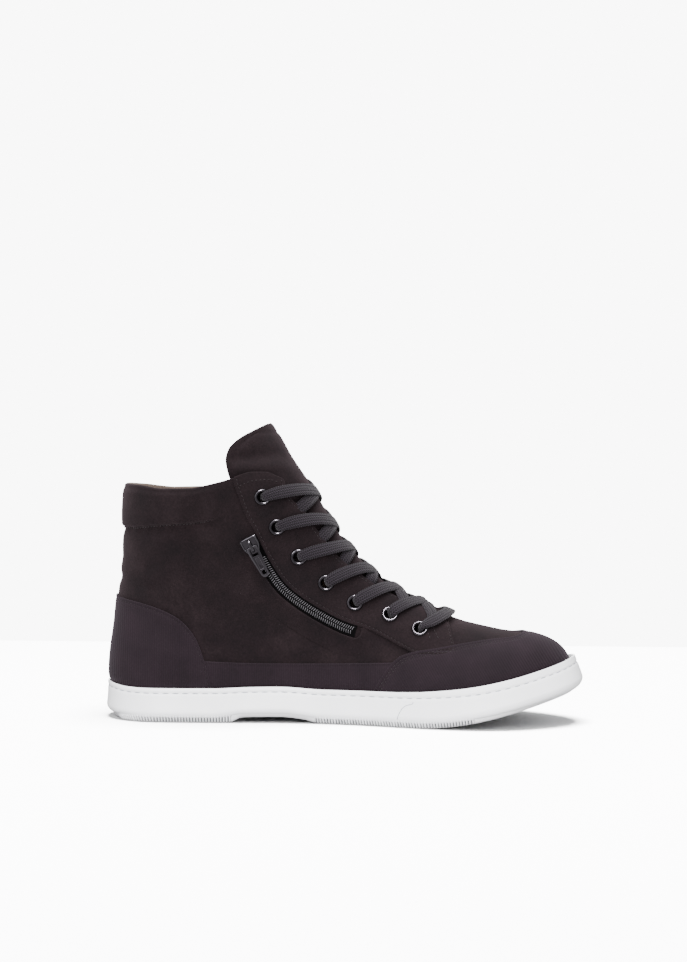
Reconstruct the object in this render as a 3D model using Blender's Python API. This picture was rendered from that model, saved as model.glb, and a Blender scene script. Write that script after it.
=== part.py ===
"""High top sneaker, left foot, standing on its sole.

Metres, +Z up, the toe towards +X, the inner side of the foot towards -Y.
The origin is under the middle of the shoe, on the floor.
Every curved piece is worked out from one function of the last, formValue.
"""

import bpy
import bmesh
import numpy as np
from mathutils import Matrix, Vector

# Driving dimensions
length = 0.2785
ballWidth = 0.0965
collarHeight = 0.136
instepHeight = 0.093
heelRound = 0.032
toeRound = 0.056
toeSpring = 0.0165
toeFlare = 0.0052
sideFlare = 0.0014
heelLean = 0.0066
wall = 0.0016
cuffPadding = 0.0052
cuffBulge = 0.0012
overlayThickness = 0.0009
throatWidth = 0.042
tongueHeight = 0.1725
tongueThickness = 0.003
rimWall = 0.0012
rimHeight = 0.0198
bedHeight = 0.0112
soleUnder = 0.0026
archLift = 0.0024
treadInset = 0.0042
waistThickness = 0.0013
grooveDepth = 0.001
grooveWidth = 0.0022
groovePitch = 0.011
stitchBand = 0.003
stitchStep = 0.0005
insoleThickness = 0.0045
eyeletRadius = 0.0048
eyeletHole = 0.0023
eyeletBarrel = 0.0028
eyeletHeight = 0.0011
eyeletSides = 8
laceWidth = 0.0074
laceThickness = 0.0015
laceEndGap = 0.006
laceOver = 0.75
laceDip = 0.3
laceShortest = 0.22
laceStagger = 0.03
barBow = 0.8
coilWidth = 0.005
coilThickness = 0.0013
sliderLength = 0.0098
sliderWidth = 0.0066
sliderHeight = 0.0026
bridgeWidth = 0.0022
bridgeLength = 0.0062
bridgeThickness = 0.0009
pullLength = 0.0165
pullWidth = 0.0056
pullThickness = 0.0011
pullPin = 0.0010

# Named clearances
fitGap = 0.0005
overlayGap = 0.00035
tongueGap = 0.0014
seatGap = 0.0006
sliderGap = 0.0014
zipGap = 0.0013
pullGap = 0.00035

# What follows from the sizes above
overlayTop = overlayGap + overlayThickness
cupInner = overlayTop + fitGap
rimOuter = cupInner + rimWall
backX = -length / 2 + rimOuter + sideFlare / 2
tipX = length / 2 - rimOuter - toeFlare
columns = 18
flatAngle = 0.02


def table(names, *rows):
    """A table with named columns, a row for each section."""
    return dict(zip(names.split(), np.array(rows, float).T))


def curve(t, xs, ys):
    """Smooth curve through the table's points, with no overshoot, flat past both ends."""
    t = np.clip(np.asarray(t, float), xs[0], xs[-1])
    run = np.diff(xs)
    slope = np.diff(ys) / run
    knot = np.zeros(len(xs))
    same = slope[1:] * slope[:-1] > 0
    weightA = 2 * run[1:] + run[:-1]
    weightB = run[1:] + 2 * run[:-1]
    inner = np.zeros(len(xs) - 2)
    inner[same] = ((weightA + weightB)[same]
                   / (weightA[same] / slope[:-1][same] + weightB[same] / slope[1:][same]))
    knot[1:-1] = inner
    knot[0], knot[-1] = slope[0], slope[-1]
    i = np.clip(np.searchsorted(xs, t, side="right") - 1, 0, len(xs) - 2)
    u = (t - xs[i]) / run[i]
    return ((1 + 2 * u) * (1 - u) ** 2 * ys[i] + u * (1 - u) ** 2 * run[i] * knot[i]
            + u * u * (3 - 2 * u) * ys[i + 1] + u * u * (u - 1) * run[i] * knot[i + 1])


# Sections of the last. station is the share of the length from the heel, centre and ridgeSide are
# shares of the ball width, with the outer side of the foot positive, half is the sole's half width as a
# share of the ball width, ridge is the height of the top line over the feather line as a share of the
# instep height, crown is how full the top is and side how full the side is.
sections = table(
    "station centre half ridge ridgeSide crown side",
    (0.00, 0.005, 0.345, 4.45, 0.000, 2.6, 2.0),
    (0.12, 0.005, 0.350, 3.50, 0.000, 2.6, 2.0),
    (0.25, 0.020, 0.352, 2.44, 0.000, 2.6, 2.0),
    (0.32, 0.033, 0.352, 2.00, -0.004, 2.6, 2.0),
    (0.36, 0.041, 0.353, 1.745, -0.008, 2.5, 2.0),
    (0.42, 0.048, 0.362, 1.41, -0.016, 2.35, 2.0),
    (0.46, 0.050, 0.372, 1.21, -0.026, 2.2, 2.0),
    (0.50, 0.050, 0.388, 1.02, -0.038, 2.05, 2.0),
    (0.54, 0.047, 0.407, 0.890, -0.048, 1.95, 2.0),
    (0.58, 0.040, 0.430, 0.778, -0.056, 1.9, 2.0),
    (0.63, 0.027, 0.460, 0.680, -0.064, 1.9, 2.0),
    (0.69, 0.008, 0.488, 0.595, -0.072, 1.95, 2.0),
    (0.77, -0.020, 0.497, 0.482, -0.082, 2.1, 2.0),
    (0.84, -0.043, 0.470, 0.415, -0.088, 2.35, 2.05),
    (0.92, -0.064, 0.400, 0.382, -0.088, 2.7, 2.1),
    (1.00, -0.075, 0.320, 0.350, -0.082, 2.9, 2.1),
)

# Width over the feather line's width, at shares of the collar's rise.
waistLine = table(
    "rise width",
    (0.00, 1.000),
    (0.10, 1.000),
    (0.20, 0.992),
    (0.35, 0.950),
    (0.50, 0.925),
    (0.65, 0.950),
    (0.80, 1.030),
    (0.92, 1.130),
    (1.05, 1.200),
    (1.30, 1.190),
)

# How far the back leans forward, as a share of heelLean, at shares of the collar's rise.
heelBack = table(
    "rise lean",
    (0.00, 0.04),
    (0.10, 0.00),
    (0.22, 0.08),
    (0.32, 0.24),
    (0.42, 0.42),
    (0.52, 0.60),
    (0.65, 0.80),
    (0.80, 0.95),
    (1.00, 1.00),
    (1.30, 1.02),
)

# The sole's lines over its spring line: rim as a share of rimHeight, bed as a share of bedHeight,
# and arch as a share of archLift.
soleLines = table(
    "station rim bed arch",
    (0.00, 1.035, 1.03, 0.0),
    (0.10, 1.000, 1.03, 0.0),
    (0.24, 1.005, 1.00, 0.0),
    (0.31, 1.045, 0.96, 0.95),
    (0.38, 1.060, 0.93, 1.0),
    (0.47, 1.000, 0.88, 0.0),
    (0.60, 1.010, 0.82, 0.0),
    (0.72, 1.075, 0.81, 0.0),
    (0.85, 1.075, 0.84, 0.0),
    (0.95, 1.090, 0.85, 0.0),
    (1.00, 1.150, 0.86, 0.0),
)

# The collar line and the seam under the cuff, as shares of the collar height.
collarLines = table(
    "station collar seam",
    (0.00, 1.000, 0.808),
    (0.07, 1.000, 0.815),
    (0.13, 0.988, 0.829),
    (0.19, 0.990, 0.838),
    (0.24, 1.010, 0.853),
    (0.28, 1.032, 0.873),
    (0.32, 1.055, 0.892),
    (0.345, 1.054, 0.895),
    (0.37, 1.034, 0.895),
    (0.395, 1.008, 0.895),
    (0.45, 0.990, 0.895),
)

# Rows of the upper: 0 is the feather line, 1 the cuff's seam and 2 the collar.
lowRows = (0.0, 0.09, 0.17, 0.23, 0.28, 0.325, 0.37, 0.42, 0.466)
highRows = (0.53, 0.62, 0.71, 0.8, 0.9, 1.0, 1.08, 1.4, 1.85, 2.0)

# Half of the throat's width as a share of half of throatWidth, from its lower end to the collar.
throatLine = table(
    "rise half",
    (0.00, 0.42),
    (0.10, 0.62),
    (0.25, 0.82),
    (0.45, 0.95),
    (0.70, 1.02),
    (1.00, 0.98),
)

# Share of the cuff's bulge and of its padding at the rows over the seam.
cuffLine = table(
    "row bulge padding",
    (1.0, 0.0, 0.0),
    (1.08, 0.8, 0.5),
    (1.4, 1.0, 1.0),
    (1.85, 0.75, 0.85),
    (2.0, 0.0, 0.5),
)

# Where the cuff's bulge and its padding begin, as shares of the length from the middle.
bulgeStart = -0.23
paddingStart = -0.262

# Outlines of the overlays in the side view, as shares of the length and of the collar height.
guardEdge = table(
    "along up",
    (0.0652, 0.080),
    (0.0746, 0.145),
    (0.0918, 0.207),
    (0.1116, 0.262),
    (0.1298, 0.2915),
    (0.158, 0.310),
    (0.2039, 0.326),
    (0.2646, 0.346),
    (0.311, 0.358),
    (0.3505, 0.363),
    (0.3752, 0.375),
)
counterEdge = table(
    "along up",
    (-0.5135, 0.520),
    (-0.47, 0.514),
    (-0.4345, 0.504),
    (-0.39, 0.484),
    (-0.3565, 0.459),
    (-0.3347, 0.434),
    (-0.313, 0.392),
    (-0.2962, 0.341),
    (-0.2829, 0.270),
    (-0.2735, 0.210),
    (-0.2627, 0.080),
)
bandTop = table(
    "along up",
    (-0.2864, 0.256),
    (-0.2024, 0.249),
    (-0.1323, 0.247),
    (-0.0158, 0.251),
    (0.0592, 0.257),
    (0.1284, 0.264),
)
stayEdge = table(
    "along up",
    (-0.2192, 1.070),
    (-0.2158, 1.018),
    (-0.2064, 0.961),
    (-0.1925, 0.881),
    (-0.1768, 0.822),
    (-0.1654, 0.771),
    (-0.1382, 0.666),
    (-0.1106, 0.587),
    (-0.078, 0.532),
    (-0.0306, 0.4735),
    (0.0123, 0.432),
    (0.0632, 0.399),
    (0.1264, 0.3375),
    (0.16, 0.3050),
)

# Front edge of the eyestay at the toe guard and on the top line, as shares of the length.
stayFront = 0.241
stayTop = 0.216

# Eyelets in the side view, from the top one down, as shares of the length and of the collar height.
eyelets = table(
    "along up",
    (-0.16, 0.953),
    (-0.1308, 0.826),
    (-0.0862, 0.699),
    (-0.0296, 0.590),
    (0.0306, 0.507),
    (0.1032, 0.460),
    (0.1649, 0.402),
)

# The tongue's side edge: how far it lies behind the front line, as a share of the length.
tongueEdge = table(
    "rise behind",
    (0.00, 0.085),
    (0.20, 0.115),
    (0.45, 0.135),
    (0.70, 0.148),
    (0.80, 0.138),
    (0.87, 0.117),
    (0.93, 0.078),
    (0.97, 0.038),
    (1.00, 0.006),
)


def station(x):
    return np.asarray(x, float) / length + 0.5


def section(name, x):
    return curve(station(x), sections["station"], sections[name])


def soleLine(name, x):
    return curve(station(x), soleLines["station"], soleLines[name])


def springLine(x):
    """Lift of the whole sole towards the toe."""
    start = 0.165 * length
    run = np.clip((np.asarray(x, float) - start) / (length / 2 - start), 0, 1.05)
    return toeSpring * run ** 1.6


def featherLine(x):
    return springLine(x) + bedHeight * soleLine("bed", x)


def rimLine(x):
    return springLine(x) + rimHeight * soleLine("rim", x)


def underLine(x):
    """The cup's underside, raised at the arch."""
    return springLine(x) + soleUnder + archLift * soleLine("arch", x)


def rowHeight(row, x):
    """Height of a row of the upper: feather line, cuff seam and collar in turn."""
    low = featherLine(x)
    seam = collarHeight * curve(station(x), collarLines["station"], collarLines["seam"])
    top = collarHeight * curve(station(x), collarLines["station"], collarLines["collar"])
    return np.where(row <= 1, low + (seam - low) * row, seam + (top - seam) * (row - 1))


def rise(x, z):
    return (z - featherLine(x)) / (collarHeight - bedHeight)


def crownPart(x, z):
    ridge = instepHeight * section("ridge", x)
    return np.clip((z - featherLine(x)) / ridge, 0, 3) ** section("crown", x)


def endPart(x, z):
    """How far a point is into the rounded heel or toe, 1 at its very end."""
    up = rise(x, z)
    lean = heelLean * curve(up, heelBack["rise"], heelBack["lean"])
    fade = np.clip(1 - station(x) / 0.42, 0, 1)
    shifted = x - lean * fade ** 0.5
    heel = np.clip(1 - (shifted - backX) / (heelRound * (1 + 0.55 * np.clip(up, 0, 1.3) ** 1.2)), 0, 2)
    toe = np.clip(1 - (tipX - x) / toeRound, 0, 2)
    return heel ** 2.1 + toe ** 2.5


def fullHalf(x, z):
    half = ballWidth * section("half", x) - rimOuter - sideFlare
    return half * curve(rise(x, z), waistLine["rise"], waistLine["width"])


def centreLine(x, z):
    up = np.clip((z - featherLine(x)) / (instepHeight * section("ridge", x)), 0, 1)
    low = section("centre", x)
    return ballWidth * (low + (section("ridgeSide", x) - low) * up * up)


def formValue(x, y, z):
    """The last's skin is where this is 1: (|y - centre| / half) ** side + crown part + end part."""
    across = np.abs(y - centreLine(x, z)) / fullHalf(x, z)
    return across ** section("side", x) + crownPart(x, z) + endPart(x, z)


def halfAt(x, z):
    left = np.clip(1 - crownPart(x, z) - endPart(x, z), 0, 1)
    return fullHalf(x, z) * left ** (1 / section("side", x))


def skin(x, z, side):
    """Points of the last's skin at x and z, on the inner side for -1 and the outer side for 1."""
    y = centreLine(x, z) + side * halfAt(x, z)
    return np.stack(np.broadcast_arrays(x, y, z), -1)


def normals(points):
    """Outward directions of the skin, from the slopes of formValue."""
    step = 1e-5
    x, y, z = points[..., 0], points[..., 1], points[..., 2]
    slopes = np.stack([
        formValue(x + step, y, z) - formValue(x - step, y, z),
        formValue(x, y + step, z) - formValue(x, y - step, z),
        formValue(x, y, z + step) - formValue(x, y, z - step),
    ], -1)
    return slopes / np.linalg.norm(slopes, axis=-1, keepdims=True)


def endOf(height, half, outward):
    """x where the skin at this height line is half wide, towards the toe for 1 and the heel for -1."""
    inside = -0.3 * length
    outside = (tipX if outward > 0 else backX) + outward * 0.002
    for _ in range(45):
        middle = (inside + outside) / 2
        if halfAt(middle, height(middle)) > half:
            inside = middle
        else:
            outside = middle
    return inside


def ring(height, half=0.0, count=None):
    """Points round the last at a height line: inner side from the front to the back, then the outer."""
    count = count or columns
    front = endOf(height, half, 1)
    back = endOf(height, 0.0, -1)
    share = (1 - np.cos(np.pi * np.linspace(0, 1, count + 1))) / 2
    x = front + (back - front) * share
    inner = skin(x, height(x), -1)
    outer = skin(x, height(x), 1)
    if half <= 0:
        inner[0, 1] = outer[0, 1] = centreLine(x[0], height(x[0]))
    inner[-1, 1] = outer[-1, 1] = centreLine(x[-1], height(x[-1]))
    return np.concatenate([inner, outer[-2::-1]])


def pushed(points, offset, level=False):
    """Points moved out along the skin's normal, or along its level part so that heights stay."""
    direction = normals(points)
    if level:
        direction = direction * (1, 1, 0)
        direction /= np.linalg.norm(direction, axis=-1, keepdims=True)
    return points + direction * np.asarray(offset)[..., None]


def meshObject(name, vertices, faces, material, merge=2e-5):
    """One object from points and faces, with equal points joined and its faces turned outwards."""
    mesh = bpy.data.meshes.new(name)
    mesh.from_pydata([tuple(map(float, v)) for v in vertices], [], [tuple(map(int, f)) for f in faces])
    work = bmesh.new()
    work.from_mesh(mesh)
    bmesh.ops.remove_doubles(work, verts=work.verts, dist=merge)
    bmesh.ops.dissolve_degenerate(work, edges=work.edges, dist=1e-6)
    bmesh.ops.triangulate(work, faces=[f for f in work.faces if len(f.verts) == 4])
    bmesh.ops.recalc_face_normals(work, faces=work.faces)
    work.to_mesh(mesh)
    work.free()
    mesh.materials.append(material)
    mesh.shade_smooth()
    mesh.set_sharp_from_angle(angle=0.6)
    obj = bpy.data.objects.new(name, mesh)
    bpy.context.scene.collection.objects.link(obj)
    return obj


def material(name, colour, roughness, metallic=0.0):
    made = bpy.data.materials.new(name)
    made.use_nodes = True
    shader = made.node_tree.nodes["Principled BSDF"]
    shader.inputs["Base Color"].default_value = (*colour, 1)
    shader.inputs["Roughness"].default_value = roughness
    shader.inputs["Metallic"].default_value = metallic
    return made


def stripFaces(first, second):
    """Quads between two rows of points, given as arrays of their numbers."""
    return list(zip(first[:-1], first[1:], second[1:], second[:-1]))


def cut(obj, tool, operation):
    """Applies one exact Boolean to an object and takes the tool out of the scene."""
    change = obj.modifiers.new("cut", "BOOLEAN")
    change.operation = operation
    change.solver = "EXACT"
    change.object = tool
    graph = bpy.context.evaluated_depsgraph_get()
    made = bpy.data.meshes.new_from_object(obj.evaluated_get(graph))
    obj.modifiers.clear()
    work = bmesh.new()
    work.from_mesh(made)
    bmesh.ops.remove_doubles(work, verts=work.verts, dist=2e-6)
    bmesh.ops.dissolve_limit(work, angle_limit=flatAngle, verts=work.verts, edges=work.edges)
    bmesh.ops.triangulate(work, faces=work.faces)
    work.to_mesh(made)
    work.free()
    old = obj.data
    obj.data = made
    bpy.data.meshes.remove(old)
    bpy.data.objects.remove(tool)


def shellMesh(name, surfaces, look):
    """A shell between an outer and an inner grid of rows, closed at its rims, open at the throat."""
    outer, inner = surfaces
    rows, wide = outer.shape[:2]
    points = np.concatenate([outer.reshape(-1, 3), inner.reshape(-1, 3)])
    number = np.arange(rows * wide).reshape(rows, wide)
    deep = number + rows * wide
    faces = []
    for i in range(rows - 1):
        faces += stripFaces(number[i], number[i + 1])
        faces += stripFaces(deep[i + 1], deep[i])
    faces += stripFaces(deep[0], number[0])
    faces += stripFaces(number[-1], deep[-1])
    start = len(lowRows) - 1
    faces += stripFaces(number[start:, 0], deep[start:, 0])
    faces += stripFaces(deep[start:, -1], number[start:, -1])
    return meshObject(name, points, faces, look)


def upperRings():
    """The rows of the upper on the last's skin: whole rings up to the throat, open ones over it."""
    rings = [ring(lambda x, row=row: rowHeight(row, x)) for row in lowRows]
    for row in highRows:
        share = (row - lowRows[-1]) / (2 - lowRows[-1])
        half = throatWidth / 2 * curve(share, throatLine["rise"], throatLine["half"])
        rings.append(ring(lambda x, row=row: rowHeight(row, x), float(half)))
    return np.array(rings)


def cuffShare(x, start):
    """1 along the cuff and 0 in front of its start, under the eyestay."""
    return np.clip((start * length - x) / (0.035 * length), 0, 1)


def makeUpper(rings, look):
    rows = np.array(lowRows + highRows)[:, None]
    x = rings[..., 0]
    bulge = cuffBulge * curve(rows, cuffLine["row"], cuffLine["bulge"]) * cuffShare(x, bulgeStart)
    padding = (cuffPadding - wall) * curve(rows, cuffLine["row"], cuffLine["padding"])
    padding = padding * cuffShare(x, paddingStart)
    outer = pushed(rings, bulge)
    inner = pushed(rings, -wall - padding)
    return shellMesh("upper", (outer, inner), look)


def prism(name, outline, low, high):
    """A side view outline, drawn out across the shoe from low to high."""
    count = len(outline)
    points = [(x, low, z) for x, z in outline] + [(x, high, z) for x, z in outline]
    sides = [(i, (i + 1) % count, (i + 1) % count + count, i + count) for i in range(count)]
    caps = [tuple(range(count)), tuple(range(count, 2 * count))]
    mesh = bpy.data.meshes.new(name)
    mesh.from_pydata(points, [], sides + caps)
    work = bmesh.new()
    work.from_mesh(mesh)
    bmesh.ops.triangulate(work, faces=work.faces)
    bmesh.ops.recalc_face_normals(work, faces=work.faces)
    work.to_mesh(mesh)
    work.free()
    obj = bpy.data.objects.new(name, mesh)
    bpy.context.scene.collection.objects.link(obj)
    return obj


def edgeLine(edge, count, shift=0.0):
    """Points along an overlay's edge in metres, moved sideways by shift to its left."""
    along = edge["along"] * length
    up = edge["up"] * collarHeight
    step = np.concatenate([[0], np.cumsum(np.hypot(np.diff(along), np.diff(up)))])
    at = np.linspace(0, step[-1], count)
    x = curve(at, step, along)
    z = curve(at, step, up)
    tangent = np.stack([np.gradient(x), np.gradient(z)], -1)
    tangent /= np.linalg.norm(tangent, axis=1, keepdims=True)
    return np.stack([x - tangent[:, 1] * shift, z + tangent[:, 0] * shift], -1)


def makeOverlay(name, rings, outline, side, look):
    """A piece of cloth between two offsets of the skin, inside a side view outline."""
    piece = shellMesh(name, (pushed(rings, overlayTop), pushed(rings, overlayGap)), look)
    low = -ballWidth if side <= 0 else -ballWidth * 0.03
    high = ballWidth if side >= 0 else -ballWidth * 0.03
    cut(piece, prism("outline", outline, low, high), "INTERSECT")
    return piece


def crossing(line, other):
    """Where the first line passes from under the other one to over it, or back."""
    over = line[:, 1] - np.interp(line[:, 0], other[:, 0], other[:, 1])
    i = int(np.argmax(over[:-1] * over[1:] < 0))
    share = over[i] / (over[i] - over[i + 1])
    return i, line[i] + (line[i + 1] - line[i]) * share


def overlayOutlines():
    """The side view outline of each overlay, with the named gap between two that meet."""
    reach = length * 0.6
    floor = -0.01
    half = overlayGap / 2
    guard = edgeLine(guardEdge, 22, -half)
    toe = [(guard[0, 0], floor), *guard, (guard[-1, 0], collarHeight), (reach, collarHeight), (reach, floor)]
    counter = edgeLine(counterEdge, 18, -half)
    heel = [(-reach, floor), (-reach, counter[0, 1]), *counter, (counter[-1, 0], floor)]
    top = edgeLine(bandTop, 12)
    guardBack = edgeLine(guardEdge, 22, half)
    counterFront = edgeLine(counterEdge, 18, half)
    i, frontTop = crossing(guardBack, top)
    j, backTop = crossing(counterFront, top)
    middle = top[(top[:, 0] > backTop[0] + 0.002) & (top[:, 0] < frontTop[0] - 0.002)]
    band = [(counterFront[-1, 0], floor), *counterFront[:j:-1], backTop, *middle, frontTop, *guardBack[i::-1],
            (guardBack[0, 0], floor)]
    stay = edgeLine(stayEdge, 26)
    i, low = crossing(stay, guardBack)
    over = guardBack[(guardBack[:, 0] > low[0] + 0.001) & (guardBack[:, 0] < stayFront * length - 0.001)]
    front = np.interp(stayFront * length, guardBack[:, 0], guardBack[:, 1])
    facing = [*stay[:i + 1], low, *over, (stayFront * length, front),
              (stayTop * length, 0.6 * collarHeight), (0.1 * length, 1.5 * collarHeight),
              (stay[0, 0], 1.5 * collarHeight)]
    return {"toe_guard": toe, "heel_counter": heel, "side_band": band, "eyestay": facing}


def flareAt(x):
    """How far the sole's side stands out below its rim: little at the sides, most at the toe."""
    t = station(x)
    side = sideFlare * (0.5 + 0.5 * np.clip(t / 0.3, 0, 1))
    return side + (toeFlare - sideFlare) * np.clip((t - 0.8) / 0.2, 0, 1) ** 1.5


def levelRing(height, offset):
    base = ring(height)
    return pushed(base, offset if np.isscalar(offset) else offset(base[:, 0]), level=True)


def loftClosed(name, loops, look):
    """A solid from loops of equal count, each end closed by strips straight across the shoe."""
    count = len(loops[0]) - 1
    rows = [loop[:count] for loop in loops]
    points = np.concatenate(rows)
    faces = []
    for i in range(len(rows) - 1):
        first = np.append(np.arange(count) + i * count, i * count)
        faces += stripFaces(first, first + count)
    for start in (0, (len(rows) - 1) * count):
        half = count // 2
        left = [start + k for k in range(half + 1)]
        right = [start + (count - k) % count for k in range(half + 1)]
        faces += stripFaces(left, right)
    return meshObject(name, points, faces, look)


def makeCup(look):
    def low(x):
        return rimOuter + flareAt(x)

    def sideLoop(height, offset):
        return raised(levelRing(featherLine, offset), height)

    loops = [
        sideLoop(underLine, lambda x: low(x) - 0.0035),
        sideLoop(lambda x: underLine(x) + 0.0008, lambda x: low(x) - 0.0008),
        sideLoop(lambda x: underLine(x) + 0.0035, low),
        sideLoop(lambda x: (underLine(x) + rimLine(x)) / 2, lambda x: rimOuter + flareAt(x) * 0.65),
        sideLoop(lambda x: rimLine(x) - stitchBand - stitchStep, lambda x: rimOuter + flareAt(x) * 0.2),
        sideLoop(lambda x: rimLine(x) - stitchBand, lambda x: rimOuter - stitchStep),
        sideLoop(lambda x: rimLine(x) - 0.0004, lambda x: rimOuter - stitchStep / 2),
        sideLoop(rimLine, lambda x: cupInner + rimWall / 2 + 0 * x),
        sideLoop(lambda x: rimLine(x) - 0.0004, lambda x: cupInner + 0 * x),
        sideLoop(lambda x: featherLine(x) - fitGap, lambda x: cupInner + 0 * x),
    ]
    return loftClosed("sole_cup", loops, look)


def raised(points, height):
    lifted = points.copy()
    lifted[:, 2] = height(points[:, 0])
    return lifted


def groundLine(x):
    """The tread's lowest line: flat at heel and ball, raised at the waist and the toe."""
    t = station(x)
    waist = np.clip((t - 0.245) / 0.03, 0, 1) * np.clip((0.455 - t) / 0.03, 0, 1)
    waistTop = soleUnder + archLift * soleLine("arch", x) - fitGap
    return springLine(x) + waist * (waistTop - waistThickness)


def grooveStations():
    """Where the cross grooves of the tread lie, in two fields with a plain land in each."""
    fields = ((0.05, 0.085), (0.19, 0.22), (0.50, 0.585), (0.71, 0.88))
    places = []
    for start, end in fields:
        number = int((end - start) * length / groovePitch) + 1
        places += [start * length - length / 2 + groovePitch * k for k in range(number)]
    return places


def makeOutsole(look):
    edge = levelRing(featherLine, lambda x: rimOuter + flareAt(x) - treadInset)
    half = len(edge) // 2
    inner = edge[:half + 1][::-1]
    outer = edge[half:]
    stations = [(x, groundLine(x)) for x in inner[1:-1, 0]]
    for place in grooveStations():
        wallRun = grooveDepth * 0.4
        keep = [s for s in stations if not place - 0.0008 < s[0] < place + grooveWidth + 0.0008]
        depth = grooveDepth
        stations = keep + [
            (place, groundLine(place)),
            (place + wallRun, groundLine(place + wallRun) + depth),
            (place + grooveWidth - wallRun, groundLine(place + grooveWidth - wallRun) + depth),
            (place + grooveWidth, groundLine(place + grooveWidth)),
        ]
    stations.sort()
    x = np.array([s[0] for s in stations])
    bottom = np.array([s[1] for s in stations])
    top = underLine(x) - fitGap
    innerY = np.interp(x, inner[:, 0], inner[:, 1])
    outerY = np.interp(x, outer[:, 0], outer[:, 1])
    bevel = 0.0008
    profile = [
        np.stack([x, innerY, top], -1),
        np.stack([x, innerY, bottom + bevel], -1),
        np.stack([x, innerY + bevel, bottom], -1),
        np.stack([x, outerY - bevel, bottom], -1),
        np.stack([x, outerY, bottom + bevel], -1),
        np.stack([x, outerY, top], -1),
    ]
    grid = np.stack(profile, 1)
    count = len(x)
    number = np.arange(count * 6).reshape(count, 6)
    faces = []
    for k in range(6):
        faces += stripFaces(number[:, k], number[:, (k + 1) % 6])
    faces += [tuple(number[0]), tuple(number[-1])]
    return meshObject("outsole", grid.reshape(-1, 3), faces, look)


def makeInsole(look):
    inset = -wall - fitGap * 1.7
    loops = [
        levelRing(featherLine, inset),
        levelRing(lambda x: featherLine(x) + insoleThickness * 0.75, inset),
        levelRing(lambda x: featherLine(x) + insoleThickness, inset - 0.002),
    ]
    return loftClosed("insole", loops, look)


def tongueRing(z, behind, offset, count):
    """A row of the tongue at one height: round the front from the inner edge to the outer one."""
    front = endOf(lambda x: z + 0 * x, 0.0, 1)
    share = np.linspace(-1, 1, count)
    x = front - behind * share ** 2
    points = np.where((share < 0)[:, None], skin(x, z + 0 * x, -1), skin(x, z + 0 * x, 1))
    middle = count // 2
    points[middle, 1] = centreLine(x[middle], z)
    return pushed(points, offset)


def makeTongue(look):
    bottomZ = 0.4 * collarHeight
    outerOffset = -wall - tongueGap
    share = np.array([0, 0.08, 0.16, 0.25, 0.35, 0.45, 0.55, 0.65, 0.73, 0.8, 0.86, 0.91, 0.95, 0.98, 1.0])
    count = 11
    outer = []
    inner = []
    for s in share:
        z = bottomZ + (tongueHeight - bottomZ) * s
        behind = length * float(curve(s, tongueEdge["rise"], tongueEdge["behind"]))
        outer.append(tongueRing(z, behind, outerOffset, count))
        inner.append(tongueRing(z, behind, outerOffset - tongueThickness, count))
    rows = len(share)
    points = np.concatenate([np.array(outer).reshape(-1, 3), np.array(inner).reshape(-1, 3)])
    number = np.arange(rows * count).reshape(rows, count)
    deep = number + rows * count
    faces = []
    for i in range(rows - 1):
        faces += stripFaces(number[i], number[i + 1])
        faces += stripFaces(deep[i + 1], deep[i])
    faces += stripFaces(deep[0], number[0])
    faces += stripFaces(number[-1], deep[-1])
    faces += stripFaces(number[:, 0], deep[:, 0])
    faces += stripFaces(deep[:, -1], number[:, -1])
    return meshObject("tongue", points, faces, look)


def frameAt(x, z, side, towards):
    """Point, outward normal and the direction towards a neighbour along the skin."""
    point = skin(np.array(x), np.array(z), side)
    normal = normals(point)
    other = skin(np.array(towards[0]), np.array(towards[1]), side)
    along = other - point
    along -= normal * (along @ normal)
    along /= np.linalg.norm(along)
    return point, normal, along


def placed(point, normal, along):
    """World matrix with X along, Y across and Z outwards."""
    across = np.cross(normal, along)
    rotation = Matrix(np.stack([along, across, normal], 1).tolist()).to_4x4()
    return Matrix.Translation(Vector(point.tolist())) @ rotation


def turned(profile, sides):
    """A closed profile of radius and height pairs, turned round Z."""
    angle = 2 * np.pi * np.arange(sides) / sides
    radius = np.array([p[0] for p in profile])
    height = np.array([p[1] for p in profile])
    points = np.stack([
        radius[:, None] * np.cos(angle),
        radius[:, None] * np.sin(angle),
        height[:, None] + 0 * angle,
    ], -1)
    count = len(profile)
    number = np.arange(count * sides).reshape(count, sides)
    faces = []
    for i in range(count):
        first = np.append(number[i], number[i, 0])
        second = np.append(number[(i + 1) % count], number[(i + 1) % count, 0])
        faces += stripFaces(first, second)
    return points.reshape(-1, 3), faces


def eyeletPlace(k, side):
    x = eyelets["along"][k] * length
    z = eyelets["up"][k] * collarHeight
    return frameAt(x, z, side, (x + 0.004, z - 0.003))


def makeEyelet(k, side, look):
    name = "eyelet_" + ("medial" if side < 0 else "lateral") + "_" + str(k + 1)
    base = overlayTop + seatGap
    depth = -wall - tongueGap / 4
    profile = (
        (eyeletHole, depth),
        (eyeletBarrel, depth),
        (eyeletBarrel, base),
        (eyeletRadius, base),
        (eyeletRadius * 0.78, base + eyeletHeight),
        (eyeletHole, base + eyeletHeight * 0.45),
    )
    points, faces = turned(profile, eyeletSides)
    matrix = placed(*eyeletPlace(k, side))
    obj = meshObject(name, points, faces, look)
    obj.matrix_world = matrix
    return obj


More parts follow.
